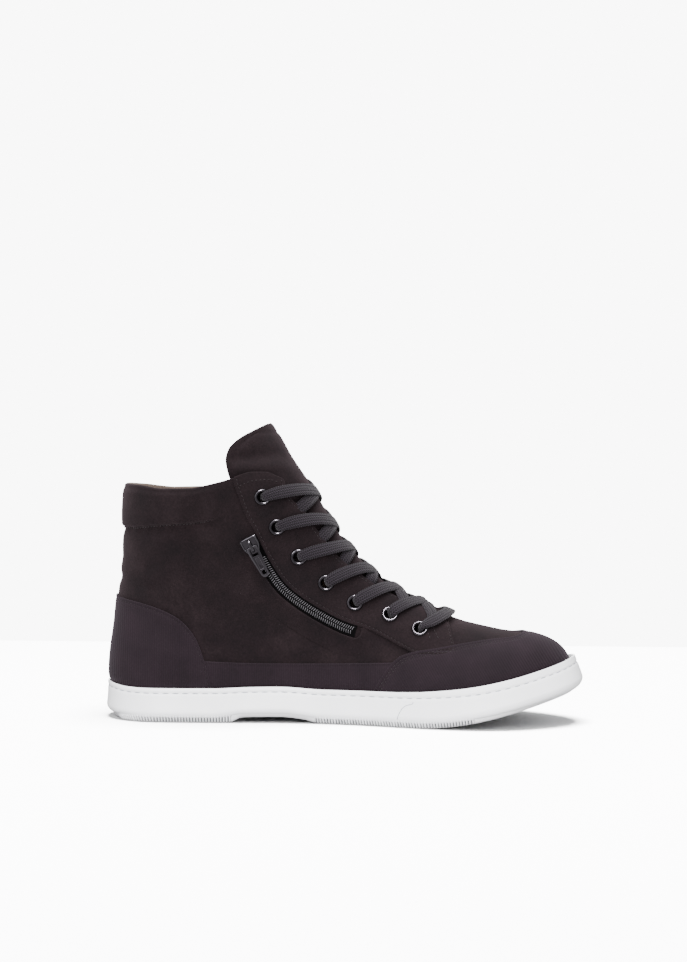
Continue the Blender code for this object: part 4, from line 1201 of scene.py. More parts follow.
soleShape = {
    "columns": 420,
    "groove": 0.00055,
    "grooveWidth": 0.0007,
    "bumper": 0.00012,
    "roundIn": 0.0034,
    "roundUp": 0.0036,
    "rimRound": 0.0009,
    "ribPitch": 0.0017,
    "ribDepth": 0.0018,
}

# The joint where the toe bumper begins: how far along it lies at heights over the underside, in metres.
bumperJoint = table(
    "height along",
    (0.0000, 0.0333),
    (0.0043, 0.0345),
    (0.0085, 0.0368),
    (0.0103, 0.0390),
    (0.0114, 0.0431),
)


def bandBelow(x):
    # How far the sole's stitching lies below its rim: more at the toe.
    return stitchBand + 0.0017 * smooth((station(x) - 0.55) / 0.3)


def groundLine(x):
    # The tread's lowest line: flat at heel and ball, raised at the waist and the toe.
    t = station(x)
    waist = smooth((t - 0.268) / 0.03) * smooth((0.47 - t) / 0.045)
    waistTop = soleUnder + archLift * soleLine("arch", x) - fitGap
    return springLine(x) + waist * (waistTop - waistThickness)


def toeRise(x):
    return smooth((station(x) - 0.70) / 0.28)


def ends(x):
    # 1 at the toe's and the heel's end, where the sole's lower edge is rounder.
    return toeRise(x) + smooth((0.10 - station(x)) / 0.10)


def rimTop(x):
    return rimLine(x) + 0.0018 * toeRise(x) + 0.0010 * smooth((0.06 - station(x)) / 0.06)


def cupUnder(x):
    return underLine(x) + 0.0020 * toeRise(x)


def treadLine(x):
    return groundLine(x) + 0.0036 * toeRise(x)


def loopAt(base, direction, height, offset):
    # A loop moved outwards. Its height is a function of x, taken where the loop then lies.
    points = base + direction * np.broadcast_to(offset, len(base))[:, None]
    points[:, 2] = height(points[:, 0])
    return points


def above(line, lift):
    return lambda x: line(x) + lift


def soleRing(count):
    # The feather line's loop with its level outward directions.
    base = ring(featherLine, 0.0, count)
    return base, levelNormals(base)


def wallOffset(flare, fall):
    # The sole's side wall: it flares out towards the ground and is a little hollow.
    return rimOuter + flare * (1 - fall ** 1.3) - 0.0003 * np.sin(np.pi * fall)


def makeCup():
    s = soleShape
    base, direction = soleRing(s["columns"])
    flare = flareAt(base[:, 0])
    low = rimOuter + flare
    soft = ends(base[:, 0])
    inward, upward, radius = s["roundIn"] + 0.0024 * soft, s["roundUp"] + 0.0014 * soft, s["rimRound"]
    loops = [loopAt(base, direction, above(cupUnder, 0.0006), rimOuter - 0.012),
             loopAt(base, direction, cupUnder, low - 0.0012 - inward)]
    for a in np.linspace(0, 1.5, 11):
        under = above(cupUnder, upward * (1 - np.cos(a)))
        loops.append(loopAt(base, direction, under, low + inward * (np.sin(a) - 1)))
    for t in np.linspace(0, 1, 34)[1:-1]:
        offset = wallOffset(flare, t)
        x = base[:, 0] + direction[:, 0] * offset
        under, rim = cupUnder(x), rimTop(x)
        height = under + upward + (rim - radius - under - upward) * t
        below = smooth((rim - bandBelow(x) - height) / 0.0006 + 0.5)
        joint = curve(height - under, bumperJoint["height"], bumperJoint["along"])
        groove = s["groove"] * np.exp(-((height - rim + bandBelow(x)) / s["grooveWidth"]) ** 2)
        offset = offset - groove + s["bumper"] * smooth((x - joint) / 0.0007 + 0.5) * below
        loop = base + direction * offset[:, None]
        loop[:, 2] = height
        loops.append(loop)
    for a in np.linspace(0, 1.57, 6)[1:]:
        loops.append(loopAt(base, direction, above(rimTop, radius * (np.sin(a) - 1)),
                            rimOuter - 0.0008 + 0.0008 * np.cos(a)))
    loops += [loopAt(base, direction, above(rimTop, -0.0002), cupInner + 0.0001),
              loopAt(base, direction, above(rimTop, -0.0006), cupInner),
              loopAt(base, direction, above(featherLine, 0.002), cupInner),
              loopAt(base, direction, above(featherLine, -0.0003), cupInner - 0.003)]
    pile = Pile()
    grid = np.array(loops)
    pile.grid(grid)
    for loop in (grid[0], grid[-1]):
        pile.grid(fillAcross(loop, 9))
    pile.add("sole_cup_rubber", whiteRubber, "white_rubber", merge=2e-6, smoothAngle=0.9)


def fillAcross(loop, rows):
    # Rows from one half of a loop over to the other half, as a flat filling.
    count = len(loop) // 2
    left, right = loop[:count + 1], loop[count:][::-1]
    share = np.linspace(0, 1, rows)[:, None, None]
    return left * (1 - share) + right * share


def makeTread():
    # Ribs round the edge and grooved fields across: height is the ground line plus a zigzag wave.
    s = soleShape
    base, direction = soleRing(1300)
    x = base[:, 0]
    run = alongPath(base)
    edge = rimOuter + flareAt(x) - treadInset - 0.0022 * ends(x)
    rib = 0.5 + 0.5 * np.clip(2.2 * np.sin(2 * np.pi * run / s["ribPitch"]), -1, 1)
    t = station(x)
    field = smooth((t - 0.03) / 0.02) * smooth((0.283 - t) / 0.015)
    field = field + smooth((t - 0.44) / 0.02) * smooth((0.80 - t) / 0.04)
    # The ribs climb the cup's rounded lower edge, and between them the strip sinks back
    out = (rib - 0.42) * s["ribDepth"] * field
    loops = [loopAt(base, direction, height, offset) for height, offset in (
        (above(cupUnder, -0.0001), edge - 0.001),
        (above(cupUnder, 0.0014), edge + 0.0028 + 0.2 * out),
        (above(cupUnder, 0.0011), edge + 0.0030 + 0.9 * out),
        (above(cupUnder, 0.0001), edge + 0.0023 + out),
        (above(treadLine, 0.0012), edge + 0.0014 + out),
        (above(treadLine, 0.0003), edge + 0.0006 + out),
        (treadLine, edge - 0.0002),
        (treadLine, edge - 0.0020),
        (above(treadLine, 0.0007), edge - 0.0025),
        (above(treadLine, 0.0007), edge - 0.0035),
        (treadLine, edge - 0.0040),
    )]
    # The material reads how far a point is on a rib as U, and from it paints shade into the gaps between ribs
    shade = np.ones((len(loops), len(base), 2))
    shade[:6, :, 0] = np.where(field > 0.5, rib, 1)
    bottom = fillAcross(loops[-1], 40)
    zig = np.abs(((bottom[..., 1] / 0.012) % 1) - 0.5) * 0.010
    line = ((bottom[..., 0] + zig) / 0.0065) % 1
    groove = smooth((line - 0.62) / 0.08) * smooth((1 - line) / 0.08)
    t = station(bottom[..., 0])
    field = smooth((t - 0.04) / 0.01) * smooth((0.25 - t) / 0.01)
    field = field + smooth((t - 0.47) / 0.01) * smooth((0.92 - t) / 0.01)
    share = np.linspace(0, 1, 40)[:, None]
    inner = smooth((np.minimum(share, 1 - share) - 0.02) / 0.03)
    bottom = bottom + np.array([0, 0, 1.0]) * (0.0009 * groove * field * inner)[..., None]
    pile = Pile()
    pile.grid(np.array(loops), shade)
    pile.grid(bottom, np.ones(bottom.shape[:2] + (2,)))
    top = fillAcross(loops[0], 9)
    pile.grid(top, np.ones(top.shape[:2] + (2,)))
    pile.add("outsole_rubber", treadRubber, "white_rubber", merge=2e-6)


def makeInsole():
    base, direction = soleRing(160)
    inset = -wall - fitGap * 1.7
    loops = [loopAt(base, direction, above(featherLine, insoleThickness * up), inset - back)
             for up, back in ((0, 0), (0.75, 0), (0.93, 0.0006), (1, 0.002))]
    pile = Pile()
    pile.grid(np.array(loops))
    share = np.linspace(0, 1, 40)[:, None, None]
    for loop, lift in ((loops[0], 0), (loops[-1], -0.0012)):
        sheet = fillAcross(loop, 40)
        sheet[..., 2:] += lift * (4 * share * (1 - share)) ** 0.6
        pile.grid(sheet)
    pile.add("insole_cloth", liningCloth, "lining", merge=2e-6)


makeCup()
makeTread()
makeInsole()
print("sole made")


# Tongue

tongueShape = {"rows": 80, "columns": 91, "bottom": 0.4, "cloth": 0.0006,
               "pad": 0.0006, "swell": 0.0019, "puff": 0.0006}


def tongueRing(z, behind, count):
    # A row of the tongue at one height: round the front from the inner edge to the outer one.
    front = endOf(lambda x: z + 0 * x, 0.0, 1)
    share = np.linspace(-1, 1, count)
    x = front - behind * share ** 2
    points = np.where((share < 0)[:, None], skin(x, z + 0 * x, -1), skin(x, z + 0 * x, 1))
    middle = count // 2
    points[middle, 1] = centreLine(x[middle], z)
    return points


def makeTongue():
    s = tongueShape
    bottom = s["bottom"] * collarHeight
    share = np.concatenate([np.linspace(0, 0.72, s["rows"] - 30)[:-1], np.linspace(0.72, 1, 31)])
    grid = np.array([tongueRing(bottom + (tongueHeight - bottom) * value,
                                length * float(curve(value, tongueEdge["rise"], tongueEdge["behind"])),
                                s["columns"]) for value in share])
    direction = normals(grid)
    across = np.abs(np.linspace(-1, 1, s["columns"]))[None, :]
    up = share[:, None]
    fromEdge = np.minimum(*(np.linalg.norm(grid - grid[:, k:k + 1], axis=-1) for k in (0, s["columns"] - 1)))
    near = np.minimum(fromEdge, (1 - up) * (tongueHeight - bottom))
    roundness = np.sqrt(np.clip(1 - (1 - np.clip(near / 0.0022, 0, 1)) ** 2, 0, 1))
    pad = s["pad"] * smooth(near / 0.012) * np.exp(-((up - 0.78) / 0.3) ** 2)
    seam = -0.0005 * np.exp(-((near - 0.0055) / 0.0008) ** 2)
    beside = smooth((across - 0.18) / 0.3) * smooth(near / 0.006)
    crease = (0.0010 * np.exp(-((up - 0.80 + 0.03 * across) / 0.035) ** 2)
              - 0.0012 * np.exp(-((up - 0.865 + 0.04 * across) / 0.03) ** 2)) * beside
    # The padding swells out into the throat between the lace's runs
    fromMiddle = np.abs(grid[..., 1] - centreLine(grid[..., 0], grid[..., 2])) / (0.42 * throatWidth)
    pad = (pad + s["swell"] * np.clip(1 - fromMiddle ** 2, 0, 1) * smooth((0.86 - up) / 0.2)
           + s["puff"] * smooth(near / 0.01))
    cloth = s["cloth"]
    middle = -wall - tongueGap - cloth
    outer = grid + direction * (middle + (cloth + pad + seam) * roundness + crease)[..., None]
    behind = grid + direction * (middle - cloth * roundness)[..., None]
    inner = grid + direction * (middle - (tongueThickness - cloth) * roundness)[..., None]
    closedSheet(outer, behind).add("tongue_suede", suedeCloth, "suede", merge=5e-6)
    closedSheet(behind - direction * 0.00002, inner).add("tongue_lining", liningCloth, "lining", merge=5e-6)


makeTongue()
print("tongue made")


# Eyelets

eyeletShape = {"hole": 0.0026, "cut": 0.0030, "sides": 40, "flange": 0.0011}


def frameAt(x, z, side, towards):
    # Point, outward normal and the direction towards a neighbour along the skin.
    point = skin(np.array(x), np.array(z), side)
    normal = normals(point)
    along = skin(np.array(towards[0]), np.array(towards[1]), side) - point
    return point, normal, unit(along - normal * (along @ normal))


def eyeletPlace(k, side):
    x = eyelets["along"][k] * length
    z = eyelets["up"][k] * collarHeight
    return frameAt(x, z, side, (x + 0.004, z - 0.003))


def inPlace(local, place):
    # Local points with X along, Y across and Z outwards, put on the skin.
    point, normal, along = place
    across = np.cross(normal, along)
    return point + local[..., :1] * along + local[..., 1:2] * across + local[..., 2:] * normal


def turnedGrid(profile, sides):
    # A profile of radius and height pairs turned round Z.
    angle = 2 * np.pi * np.arange(sides) / sides
    r, h = np.array(profile).T
    return np.stack([r[:, None] * np.cos(angle), r[:, None] * np.sin(angle), h[:, None] + 0 * angle], -1)


def makeEyelets(side):
    s = eyeletShape
    base = overlayShape["top"] - 0.00005
    hole, outer = s["hole"], eyeletRadius
    arch = [(outer + (hole - outer) * t, base + s["flange"] * np.sin(np.pi * t ** 0.8) ** 0.75)
            for t in np.linspace(0.0, 0.9, 13)]
    profile = [(hole + 0.0003, -0.0032), (hole + 0.0003, base), (outer - 0.0002, base)] + arch
    profile += [(hole, base + 0.0001), (hole - 0.0001, base - 0.0006), (hole - 0.0001, -0.0032)]
    local = turnedGrid(profile, s["sides"])
    pile = Pile()
    for k in range(len(eyelets["along"])):
        pile.grid(inPlace(local, eyeletPlace(k, side)), wrapRows=True, wrapCols=True)
    pile.add("eyelets_" + ("inner" if side < 0 else "outer"), gunmetal, "gunmetal", smoothAngle=0.9)


def bake(piece):
    # Makes what the modifiers show the piece's own mesh.
    graph = bpy.context.evaluated_depsgraph_get()
    made = bpy.data.meshes.new_from_object(piece.evaluated_get(graph))
    piece.modifiers.clear()
    old = piece.data
    piece.data = made
    bpy.data.meshes.remove(old)


def carve(piece, tool):
    # Takes the tool's form out of the piece, and the tool out of the scene.
    change = piece.modifiers.new("carve", "BOOLEAN")
    change.operation = "DIFFERENCE"
    change.solver = "EXACT"
    change.object = tool
    bake(piece)
    bpy.data.objects.remove(tool)


def cutHoles(piece, sides):
    # Round holes for the eyelets: one exact Boolean with all the punches.
    reach = 0.006
    local = turnedGrid([(0, -reach), (eyeletShape["cut"], -reach), (eyeletShape["cut"], reach), (0, reach)], 24)
    pile = Pile()
    for side in sides:
        for k in range(len(eyelets["along"])):
            pile.grid(inPlace(local, eyeletPlace(k, side)), wrapCols=True)
    carve(piece, pile.add("punch", gunmetal, "gunmetal"))
    piece.data.shade_smooth()
    piece.data.set_sharp_from_angle(angle=0.8)


for side, name in ((-1, "inner"), (1, "outer")):
    makeEyelets(side)
    cutHoles(bpy.data.objects["eyestay_suede_" + name], (side,))
cutHoles(bpy.data.objects["upper_suede"], (-1, 1))
cutHoles(bpy.data.objects["upper_lining"], (-1, 1))
print("eyelets made")


# Laces

laceShape = {"sides": 20, "thickness": 0.0015, "power": 2.7, "points": 90, "seat": 0.0033, "shortest": 0.5,
             "steps": 120, "leadEnd": 0.0030, "holeWidth": 0.0036, "sink": 0.3, "tuck": 0.30,
             "over": 0.62, "later": 0.10, "under": 0.10}

# One run: across is 1 at its eyelet, 0 at the crossing and -1 at its end in the throat, row counts rows
# past its own eyelet, width is how full its width is, and lift its height between throat and eyelet.
laceRun = table(
    "across row width lift",
    (1.00, 0.00, 0.55, 0.85),
    (0.86, 0.07, 0.90, 1.0),
    (0.68, 0.18, 1.0, 0.97),
    (0.46, 0.32, 1.0, 0.74),
    (0.22, 0.50, 1.0, 0.42),
    (0.00, 0.63, 1.0, 0.22),
    (-0.36, 0.74, 1.0, 0.38),
    (-0.70, 0.83, 1.0, 0.34),
    (-1.00, 0.90, 0.98, 0.12),
    (-1.25, 0.95, 0.9, -0.5),
)


def lacingGrid():
    # For each row of eyelets the eyelet's place and the nearest point of the top line.
    x = np.linspace(-0.14, 0.34, 400) * length
    z = ridgePoint(x)
    places = []
    for along, up in zip(eyelets["along"] * length, eyelets["up"] * collarHeight):
        nearest = np.argmin(np.hypot(x - along, z - up))
        places.append((along, up, x[nearest], z[nearest]))
    places = np.array(places)
    return np.concatenate([places, [2 * places[-1] - places[-2]]])


def lacePoints(grid, row, across, offset):
    # Points over the skin at rows of the lacing: across is -1 and 1 at the eyelets, 0 on top.
    rows = np.arange(len(grid))
    eyeX, eyeZ, topX, topZ = (curve(row, rows, grid[:, c]) for c in range(4))
    share = across * across
    x = topX + (eyeX - topX) * share
    z = topZ + (eyeZ - topZ) * share
    point = np.where((across > 0)[:, None], skin(x, z, 1), skin(x, z, -1))
    normal = normals(point)
    return point + normal * offset[:, None], normal


def throatShare(row):
    # The throat's half width at a row of the lacing, as a share of the way out to its eyelet.
    row = min(row, len(eyelets["up"]) - 1)
    x = np.interp(row, np.arange(len(eyelets["up"])), eyelets["along"]) * length
    z = np.interp(row, np.arange(len(eyelets["up"])), eyelets["up"]) * collarHeight
    return float(np.interp(z, throatTable[:, 1], throatTable[:, 0]) / halfAt(x, z))


def throatHalves():
    found = []
    for row in np.linspace(throatStart, 2, 60):
        half = float(throatHalf(row))
        x = endOf(lambda v: rowHeight(row, v), half, 1)
        found.append((half, float(rowHeight(row, x))))
    return np.array(found)


def laceBand(pile, path, normal, width):
    # Flat braid along a path: its width stays square to the path and to the skin, its ends are closed.
    s = laceShape
    thick = s["thickness"] * np.clip(laceWidth / width, 1, 1.5)
    tangent = unit(np.gradient(path, axis=0))
    flat = tangent - normal * (tangent * normal).sum(1, keepdims=True)
    good = np.where(np.linalg.norm(flat, axis=1) > 0.55)[0]
    flat = flat[good[np.argmin(np.abs(np.arange(len(path))[:, None] - good[None]), axis=1)]]
    across = unit(np.cross(flat, normal))
    section = sectionPoints(s["sides"], s["power"], 1)
    grid = carried(path, across, unit(np.cross(across, tangent)), section, width, thick)
    run = alongPath(path)
    run = np.concatenate([run[:1], run, run[-1:]])[:, None]
    uv = np.broadcast_arrays(run * 1000, section[0] * 1000 * laceWidth / 2)
    pile.grid(grid, np.stack(uv, -1))


def eyeletLead(k, side, first, second):
    # Points that bring a lace up through its eyelet's hole and over towards its first point outside.
    point, normal, _ = eyeletPlace(k, side)
    away = second - first
    away = unit(away - normal * (away @ normal))
    lift = (first - point) @ normal
    steps = ((-0.0030, -0.0002), (-0.0012, -0.0001), (0.0006, 0.0), (0.45 * lift, 0.0002), (0.8 * lift, 0.0007),
             (0.97 * lift, 0.0017))
    points = np.array([point + normal * h + away * (a + 0.0004) for h, a in steps])
    return points, np.repeat(normal[None], len(points), 0)


def evenLace(path, normal):
    # A lace's path with its corners taken off, at even steps.
    count = laceShape["steps"]
    return resample(rounded(resample(path, 160), 10), count), unit(resample(normal, count))


def laceRunOf(grid, k, side):
    # One run of a crossing, with its width at each point.
    s = laceShape
    share = throatShare(k + 1) - laceEndGap / throatWidth
    dip = min(max(share / laceDip, 0), 1)
    end = (share + s["under"]) * dip + s["shortest"] * (1 - dip)
    t = np.linspace(0, 1, s["points"])
    at = np.linspace(0, 1, len(laceRun["across"]))
    run = {key: curve(t, at, value) for key, value in laceRun.items()}
    negative = run["across"] < 0
    across = side * run["across"] * np.where(negative, end, 1)
    closed = np.where(negative, 0.56, np.maximum(run["lift"], 0.5))
    lift = closed + (run["lift"] - closed) * dip
    over = s["thickness"] * np.exp(-(across / 0.42) ** 4) * (s["over"] if side < 0 else 0.0)
    # Past the crossing the upper run sinks down to the tongue again
    lift = lift - s["sink"] * smooth(-run["across"] / 0.3) * (side < 0)
    tuck = s["tuck"] * (1 - dip) * smooth(-run["across"] / 1.2) * (side > 0)
    row = k + run["row"] + tuck + s["later"] * smooth((1 - run["across"]) / 0.7) * (side < 0)
    path, normal = lacePoints(grid, row, across, s["seat"] * lift + over)
    width = run["width"] * laceWidth
    outside = np.linalg.norm(path - path[0], axis=1) > s["leadEnd"]
    path, normal, width = path[outside], normal[outside], width[outside]
    lead, leadNormal = eyeletLead(k, side, path[0], path[2])
    width = np.concatenate([np.linspace(s["holeWidth"], width[0], len(lead) + 1)[:-1], width])
    path, normal = evenLace(np.concatenate([lead, path]), np.concatenate([leadNormal, normal]))
    width = np.interp(np.linspace(0, 1, len(path)), np.linspace(0, 1, len(width)), width)
    return path, normal, rounded(width[:, None], 20)[:, 0]


def makeLaces():
    s = laceShape
    grid = lacingGrid()
    pile = Pile()
    last = len(eyelets["along"]) - 1
    for k in range(last):
        for side in (1, -1):
            laceBand(pile, *laceRunOf(grid, k, side))
    # The straight bar between the last two eyelets
    t = np.linspace(-1, 1, s["points"])
    path, normal = lacePoints(grid, last + barBow * (1 - t ** 2), t, np.full(len(t), s["seat"]))
    inside = np.minimum(*(np.linalg.norm(path - path[k], axis=1) for k in (0, -1))) > s["leadEnd"]
    path, normal = path[inside], normal[inside]
    leadA, normalA = eyeletLead(last, -1, path[0], path[2])
    leadB, normalB = eyeletLead(last, 1, path[-1], path[-3])
    path, normal = evenLace(np.concatenate([leadA, path, leadB[::-1]]),
                            np.concatenate([normalA, normal, normalB[::-1]]))
    run = alongPath(path)
    fromEnd = np.minimum(run, run[-1] - run)
    width = s["holeWidth"] + (laceWidth - s["holeWidth"]) * smooth((fromEnd - 0.004) / 0.009)
    laceBand(pile, path, normal, width)
    pile.add("lace", laceCloth, "woven_lace", smoothAngle=1.2)


throatTable = throatHalves()
makeLaces()
print("laces made")


# Zip

zipShape = {"pitch": 0.00132, "tape": 0.0034, "lipAt": 0.0040, "start": 0.0125, "stop": 0.0008, "slant": 0.0005,
            "turnWidth": 0.00023, "turnHeight": 0.00026}

# One turn of the coil: distance from the middle and height, in metres.
coilTurn = table(
    "aside height",
    (0.00025, 0.0010),
    (0.0007, 0.0013),
    (0.0012, 0.0013),
    (0.0017, 0.00115),
    (0.0021, 0.0008),
    (0.0022, 0.0004),
)

# The lip's section: how far from its edge, and how high.
lipSection = table(
    "reach height",
    (0.0002, 0.0001),
    (-0.0001, 0.0004),
    (-0.0002, 0.0008),
    (-0.0001, 0.00115),
    (0.0002, 0.00135),
    (0.0006, 0.00140),
    (0.0010, 0.00130),
    (0.0016, 0.00108),
    (0.0026, 0.00085),
    (0.0040, 0.00060),
    (0.0060, 0.00035),
    (0.0085, 0.00010),
    (0.011, -0.00012),
)


sliderAlong = -0.183
sliderUp = 0.748


def zipRoute(count):
    # The coil's middle line in the side view: a fixed way behind the eyestay's rear edge.
    line = edgeLine(stayEdge, 60, -(coilWidth / 2 + zipGap))
    keep = line[(line[:, 1] < 0.79 * collarHeight) & (line[:, 0] < 0.042 * length)]
    return resample(keep, count)


def makeZip():
    s = zipShape
    points = resample(onSkin(zipRoute(60), -1), 400)
    out = normals(points)
    across = np.cross(out, unit(np.gradient(points, axis=0)))
    run = alongPath(points)

    def place(at, aside, height):
        # Points at a distance along the coil, aside of it and over the skin.
        spot, up, over = (pick(at, run, v) for v in (points, out, across))
        return spot + over * aside[..., None] + up * height[..., None]

    # Tape under the coil, near black: its own dark colour and painted shade beside the coil
    at, aside = np.meshgrid(np.linspace(0.001, run[-1], 90), np.linspace(-s["tape"], s["tape"], 9),
                            indexing="ij")
    closedSheet(place(at, aside, 0 * at + 0.00045), place(at, aside, 0 * at + 0.0001)).add(
        "zip_tape", tapeCloth, "woven_lace")
    # Two rows of coil turns: each a small bent tube from the middle outwards and down
    number = int((run[-1] - s["start"] - s["stop"]) / s["pitch"])
    pile = Pile()
    angle = 2 * np.pi * np.arange(6) / 6
    slant = s["slant"] * np.linspace(0, 1, len(coilTurn["aside"]))[None, :, None]
    for row in (-1, 1):
        turns = s["start"] + s["pitch"] * (np.arange(number) + 0.5 * (row > 0))
        tube = turns[:, None, None] + slant + s["turnWidth"] * np.cos(angle)[None, None]
        wide = row * coilTurn["aside"][None, :, None] + 0 * tube
        tall = coilTurn["height"][None, :, None] + s["turnHeight"] * np.sin(angle)[None, None] + 0 * tube
        for tooth in place(tube, wide, tall):
            pile.grid(capped(tooth), wrapCols=True)
    pile.add("zip_teeth", coilNylon, "gunmetal", merge=1e-7)
    # The lip: cloth folded back along the slot's rear and round its lower end
    shift = s["lipAt"]
    rear = place(np.linspace(0.0, run[-1], 160), np.full(160, -shift), np.zeros(160))
    turn = np.linspace(-np.pi / 2, 0.25 * np.pi, 26)[1:, None]
    ahead = unit(np.gradient(points, axis=0))[-1]
    end = points[-1] + ahead * (shift * 0.9 * np.cos(turn)) + across[-1] * (shift * np.sin(turn))
    line = settle(resample(settle(rounded(np.concatenate([rear, end]), 4)), 190))
    away = np.cross(unit(np.gradient(line, axis=0)), normals(line))
    inward = points[np.argmin(np.linalg.norm(line[:, None] - points[None], axis=-1), axis=1)] - line
    away *= -np.sign((away * inward).sum(1, keepdims=True))
    fade = smooth(alongPath(line) / 0.012)[:, None]
    base = settle(line[:, None] + away[:, None] * lipSection["reach"][None, :, None])
    height = lipSection["height"][None] * (0.25 + 0.75 * fade)
    closedSheet(pushed(base, height), pushed(base, np.minimum(height - 0.0003, -0.0002))).add(
        "zip_lip_suede", suedeCloth, "suede")


# Slider and pull tab, in the slider's own frame: X along the coil, Y across, Z outwards, in metres

sliderShape = {
    "skew": -8.0,
    "length": 0.0112,
    "wide": 0.0051,
    "narrow": 0.0034,
    "low": 0.0013,
    "high": 0.0036,
    "crownWidth": 0.0015,
    "pullStart": -0.0012,
    "pullEnd": 0.0180,
    "pullWide": 0.0033,
    "pullTip": 0.0023,
    "pullThick": 0.0010,
    "window": 0.0018,
    "hole": 0.00132,
}


def sliderPlace():
    route = zipRoute(30)
    point, normal, along = frameAt(sliderAlong * length, sliderUp * collarHeight, -1, tuple(route[7]))
    across = np.cross(normal, along)
    turn = math.radians(sliderShape["skew"])
    return point, normal, along * math.cos(turn) + across * math.sin(turn)


def pinPlace():
    # The hinge: its middle, where the slider's frame stands on the CAD model's joint.
    return (bridgeLength / 2 - bridgeThickness - pullPin / 2 - pullGap,
            sliderGap + sliderHeight + pullGap + pullPin / 2)


def loftX(xs, widths, lows, highs):
    # Closed body along X: each section is |y / width| ** power + |z / height| ** power = 1.
    a, b = sectionPoints(28, 4.0)
    middle, tall = (lows + highs) / 2, (highs - lows) / 2
    return capped(np.stack([xs[:, None] + 0 * a, widths[:, None] * a, middle[:, None] + tall[:, None] * b], -1))


def plateMesh(name, outline, low, high):
    # A flat plate: an outline of points in X and Y between two heights.
    count = len(outline)
    points = [(x, y, low) for x, y in outline] + [(x, y, high) for x, y in outline]
    sides = [(i, (i + 1) % count, (i + 1) % count + count, i + count) for i in range(count)]
    mesh = bpy.data.meshes.new(name)
    mesh.from_pydata(points, [], sides + [tuple(range(count))[::-1], tuple(range(count, 2 * count))])
    cleanMesh(mesh)
    return newObject(name, mesh)


def boxOutline(x0, x1, half):
    return [(x0, -half), (x1, -half), (x1, half), (x0, half)]


def makeSlider():
    s = sliderShape
    pile = Pile()
    t = np.linspace(0, 1, 26)
    xs = s["length"] * (t - 0.5)
    end = np.sqrt(np.clip(1 - (2 * np.clip(np.abs(t - 0.5) - 0.38, 0, 1) / 0.24) ** 2, 0.02, 1))
    width = (s["wide"] + (s["narrow"] - s["wide"]) * smooth((t - 0.45) / 0.5)) * (0.55 + 0.45 * end)
    lows = s["low"] + 0.0006 * (1 - end)
    highs = s["high"] - 0.0009 * (1 - end) - 0.0003 * t
    forms = [loftX(xs, width, lows, highs)]
    # Rails along both edges of its face
    for side in (-1, 1):
        path = np.stack([xs[3:-3], side * (width[3:-3] - 0.0007), highs[3:-3] + 0.0001], -1)
        forms.append(tubeAlong(path, 0.0009, 0.0007, (0, 0, 1.0), 10))
    # Crown: an arch over the pull's pin
    turn = np.linspace(0, np.pi, 25)
    foot = s["high"] - 0.0003
    top = sliderGap + sliderHeight + 2 * pullGap + pullPin + bridgeThickness / 2
    path = np.stack([-np.cos(turn) * 0.0037 - 0.0004, 0 * turn, foot + (top - foot) * np.sin(turn) ** 0.55], -1)
    up = -unit(np.cross((0, 1.0, 0), np.gradient(path, axis=0)))
    forms.append(tubeAlong(path, s["crownWidth"] * (0.8 + 0.35 * np.sin(turn)), bridgeThickness, up, 16, 3.0))
    for form in forms:
        pile.grid(inPlace(form, sliderPlace()), wrapCols=True)
    pile.add("zip_slider_metal", gunmetal, "gunmetal", merge=1e-7, smoothAngle=0.7)


def makePull():
    s = sliderShape
    start, end, wide, tip = s["pullStart"], s["pullEnd"], s["pullWide"], s["pullTip"]
    outline = [(start + 0.0006, -wide), (start + 0.0055, -wide)]
    outline += [(end - tip + tip * math.cos(a), tip * math.sin(a))
                for a in np.linspace(-np.pi / 2, np.pi / 2, 17)]
    outline += [(start + 0.0055, wide), (start + 0.0006, wide), (start, wide - 0.0007), (start, -wide + 0.0007)]
    half = s["pullThick"] / 2
    plate = plateMesh("zip_pull_metal", outline, -half, half)
    # Its window, hole and recess
    carve(plate, plateMesh("tool", boxOutline(start + 0.0013, start + 0.0058, s["window"]), -0.01, 0.01))
    hole = [(end - 0.0030 + s["hole"] * math.cos(a), s["hole"] * math.sin(a))
            for a in np.linspace(0, 2 * np.pi, 25)[:-1]]
    carve(plate, plateMesh("tool", hole, -0.01, 0.01))
    carve(plate, plateMesh("tool", boxOutline(start + 0.0072, end - 0.0052, 0.0011), half - 0.00025, 0.01))
    bevel = plate.modifiers.new("bevel", "BEVEL")
    bevel.width = 0.00016
    bevel.segments = 2
    bevel.limit_method = "ANGLE"
    bevel.angle_limit = 0.6
    bake(plate)
    # From the slider's frame to its place
    mesh = plate.data
    points = np.empty(len(mesh.vertices) * 3, np.float32)
    mesh.vertices.foreach_get("co", points)
    pinX, pinZ = pinPlace()
    points = inPlace(points.reshape(-1, 3).astype(float) + (pinX, 0, pinZ), sliderPlace()) + (0, shiftY, 0)
    mesh.vertices.foreach_set("co", points.astype(np.float32).ravel())
    mesh.update()
    cleanMesh(mesh)
    mesh.materials.clear()
    mesh.materials.append(gunmetal)
    mesh.shade_smooth()
    mesh.set_sharp_from_angle(angle=0.6)
    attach(plate, "pull_tab")


makeZip()
makeSlider()
makePull()
print("zip made")


# Stitches

stitchShape = {"length": 0.0015, "gap": 0.0009, "thread": 0.00036, "rise": 0.00024, "sunk": 0.00016}
# A thread's thickness along it, as shares of the full one.
stitchSwell = (0.35, 0.9, 1, 1, 0.9, 0.35)
barTacks = (((0.172, 0.424), (0.190, 0.352)), ((0.186, 0.421), (0.206, 0.356)))


